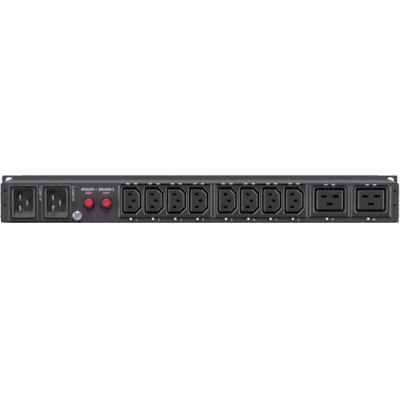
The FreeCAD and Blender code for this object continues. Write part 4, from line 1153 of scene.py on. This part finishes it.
@dataclass
class PanelPrint:
    """The printed marks of the outlet panel: plain words and numbers in two inks."""

    film_mm: float = 0.03
    number: Lettering = Lettering(2.2)
    title: Lettering = Lettering(2.3, 1.08)
    side_title: Lettering = Lettering(2.1, 1.06)
    small: Lettering = Lettering(1.9, 1.1)
    number_shift_mm: float = 6.3
    number_drop_mm: float = 0.6
    side_gap_mm: float = 2.4
    side_middle_mm: float = 32.2
    title_row_mm: float = 36.9
    small_row_mm: float = 32.8
    letter_depth: float = 0.5
    letter_swell: float = 0.008
    letter_steps: int = 3
    letter_weld: float = 1e-5

    def set_word(self, word: Word, panel_y: float) -> Mesh:
        """Set one word as a thin closed film on the panel.

        Args:
            word: The word.
            panel_y: Where the panel's face is.

        Returns:
            The word's mesh.
        """
        curve = bpy.data.curves.new("word", "FONT")
        curve.body = word.text
        curve.extrude = self.letter_depth
        curve.space_character = word.lettering.spacing
        curve.offset = self.letter_swell
        curve.resolution_u = self.letter_steps
        writer = put_in_scene("word", curve)
        mesh = result_of(writer)
        bpy.data.objects.remove(writer)
        work = welded(mesh, self.letter_weld)
        low, high = corners(work.verts)
        scale = word.lettering.height_mm * MM / (high.y - low.y)
        flat = Matrix.Diagonal((scale, scale, self.film_mm * MM / (high.z - low.z), 1.0))
        stand = Matrix.Rotation(math.pi / 2, 4, "X") @ Matrix.Rotation(word.turn, 4, "Z")
        work.transform(stand @ flat @ Matrix.Translation(-(low + high) / 2))
        work.transform(Matrix.Translation((word.x, panel_y - 0.5 * self.film_mm * MM, word.z)))
        work.to_mesh(mesh)
        work.free()
        return mesh

    def film(self, name: str, ink: Finish, words: Iterable[Word]) -> None:
        """Join words into one film on the panel.

        Args:
            name: The piece's name.
            ink: Its ink.
            words: The words.
        """
        panel_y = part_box("base_pan")[0].y
        whole = bmesh.new()
        for word in words:
            mesh = self.set_word(word, panel_y)
            whole.from_mesh(mesh)
            bpy.data.meshes.remove(mesh)
        bmesh.ops.recalc_face_normals(whole, faces=whole.faces)
        finish_piece(piece_from(whole, name, ink), CASE)

    def dress(self) -> None:
        """Print the numbers beside the lamps and the words beside inlets and breakers."""
        white = []
        rose = []
        for number, node in enumerate(LAMPS, start=1):
            lamp = seat_of(node)
            x, z = lamp.x + self.number_shift_mm * MM, lamp.z - self.number_drop_mm * MM
            white.append(Word(str(number), self.number, x, z))
        for number in SUPPLIES:
            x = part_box(f"inlet_{number}_shell")[1].x + self.side_gap_mm * MM
            z = self.side_middle_mm * MM
            white.append(Word(f"AC INPUT {number}", self.side_title, x, z, math.pi / 2))
            x = seat_of(f"breaker_{number}_button").x
            white.append(Word(f"BREAKER {number}", self.title, x, self.title_row_mm * MM))
            rose.append(Word("RESET", self.small, x, self.small_row_mm * MM))
        self.film("panel_print", PRINTED_INK, white)
        self.film("panel_small_print", ROSE_INK, rose)


@dataclass(frozen=True)
class SoftBox:
    """A rectangular lamp: where it hangs, its size, its power and how wide its grid lets it spread."""

    name: str
    place: tuple[float, float, float]
    size: tuple[float, float]
    watts: float
    aim: tuple[float, float, float] = (0.0, -0.05, 0.02)
    spread_deg: float = 180.0


@dataclass
class Studio:
    """A white studio: pale floor, soft boxes above and at both sides, and the photograph's camera."""

    camera_x: float = 0.0003
    camera_back: float = 2.127
    camera_height: float = 0.1325
    pitch_deg: float = 3.04
    focal_px: float = 1834.0
    frame_px: float = 400.0
    sensor_mm: float = 36.0
    sight: float = 200.0
    floor_size: float = 60.0
    floor_gap: float = 0.0006
    fill: float = 0.085
    # The strip hangs close above the front edge of the case and draws the bright band along its top.
    lamps: tuple[SoftBox, ...] = (
        SoftBox("key_box", (0.0, -1.52, 1.88), (1.4, 0.14), 46.0),
        SoftBox("edge_strip", (0.0, -0.092, 0.092), (0.7, 0.12), 0.42, (0.0, -0.092, 0.0), 60.0),
        SoftBox("left_box", (-1.5, -0.5, 0.24), (0.8, 0.44), 21.0),
        SoftBox("right_box", (1.5, -0.5, 0.24), (0.8, 0.44), 21.0),
        SoftBox("back_left_box", (-1.3, 1.4, 0.12), (1.0, 0.2), 15.0),
        SoftBox("back_right_box", (1.3, 1.4, 0.12), (1.0, 0.2), 15.0),
    )

    def build_world(self) -> None:
        """Light the room evenly and show it white."""
        world = bpy.data.worlds.new("white_room")
        bpy.context.scene.world = world
        world.use_nodes = True
        world.node_tree.nodes.clear()
        add = partial(add_node, world.node_tree)
        level = add("ShaderNodeMapRange", {"Value": white_where_seen(add), "To Min": self.fill})
        room = add("ShaderNodeBackground", {"Color": linear(WHITE), "Strength": level})
        add("ShaderNodeOutputWorld", {"Surface": room})

    def build_floor(self) -> None:
        """Lay the paper floor."""
        work = bmesh.new()
        bmesh.ops.create_grid(work, x_segments=1, y_segments=1, size=self.floor_size / 2)
        floor = piece_from(work, "studio_floor", STUDIO_PAPER)
        floor.location.z = -self.floor_gap

    def build_lamps(self) -> None:
        """Hang the soft boxes."""
        for box in self.lamps:
            light = bpy.data.lights.new(box.name, "AREA")
            light.shape = "RECTANGLE"
            light.size, light.size_y = box.size
            light.energy = box.watts
            light.spread = math.radians(box.spread_deg)
            lamp = put_in_scene(box.name, light)
            lamp.location = box.place
            direction = Vector(box.aim) - Vector(box.place)
            lamp.rotation_euler = direction.to_track_quat("-Z", "Y").to_euler()
            lamp.visible_camera = False

    def build_camera(self) -> None:
        """Stand the camera where the photograph was taken."""
        lens = bpy.data.cameras.new("camera")
        lens.sensor_width = self.sensor_mm
        lens.lens = self.sensor_mm * self.focal_px / self.frame_px
        lens.clip_end = self.sight
        camera = put_in_scene("camera", lens)
        camera.location = (self.camera_x, -self.camera_back, self.camera_height)
        camera.rotation_euler = (math.radians(90.0 - self.pitch_deg), 0.0, 0.0)
        bpy.context.scene.camera = camera

    def build(self) -> None:
        """Make the whole studio."""
        bpy.context.scene.view_settings.view_transform = "Standard"
        self.build_world()
        self.build_floor()
        self.build_lamps()
        self.build_camera()


def main() -> None:
    """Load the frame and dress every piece."""
    logging.basicConfig(level=logging.INFO, format="%(message)s")
    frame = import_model()
    nodes = frame["nodes"]
    for row in frame["record"]["subparts"]:
        finish = FINISH_OF_SLOT[Slot(row["material_slot"])]
        slots = nodes[row["node"]].data.materials
        slots.clear()
        slots.append(finish.material())
        LOG.info("%s: %s", row["node"], finish.name)
    SheetCase().dress(nodes)
    Mouldings().dress(nodes)
    Breakers().dress()
    GroundPoint().dress()
    OutletLamps().dress()
    PanelPrint().dress()
    Studio().build()


if __name__ == "__main__":
    main()
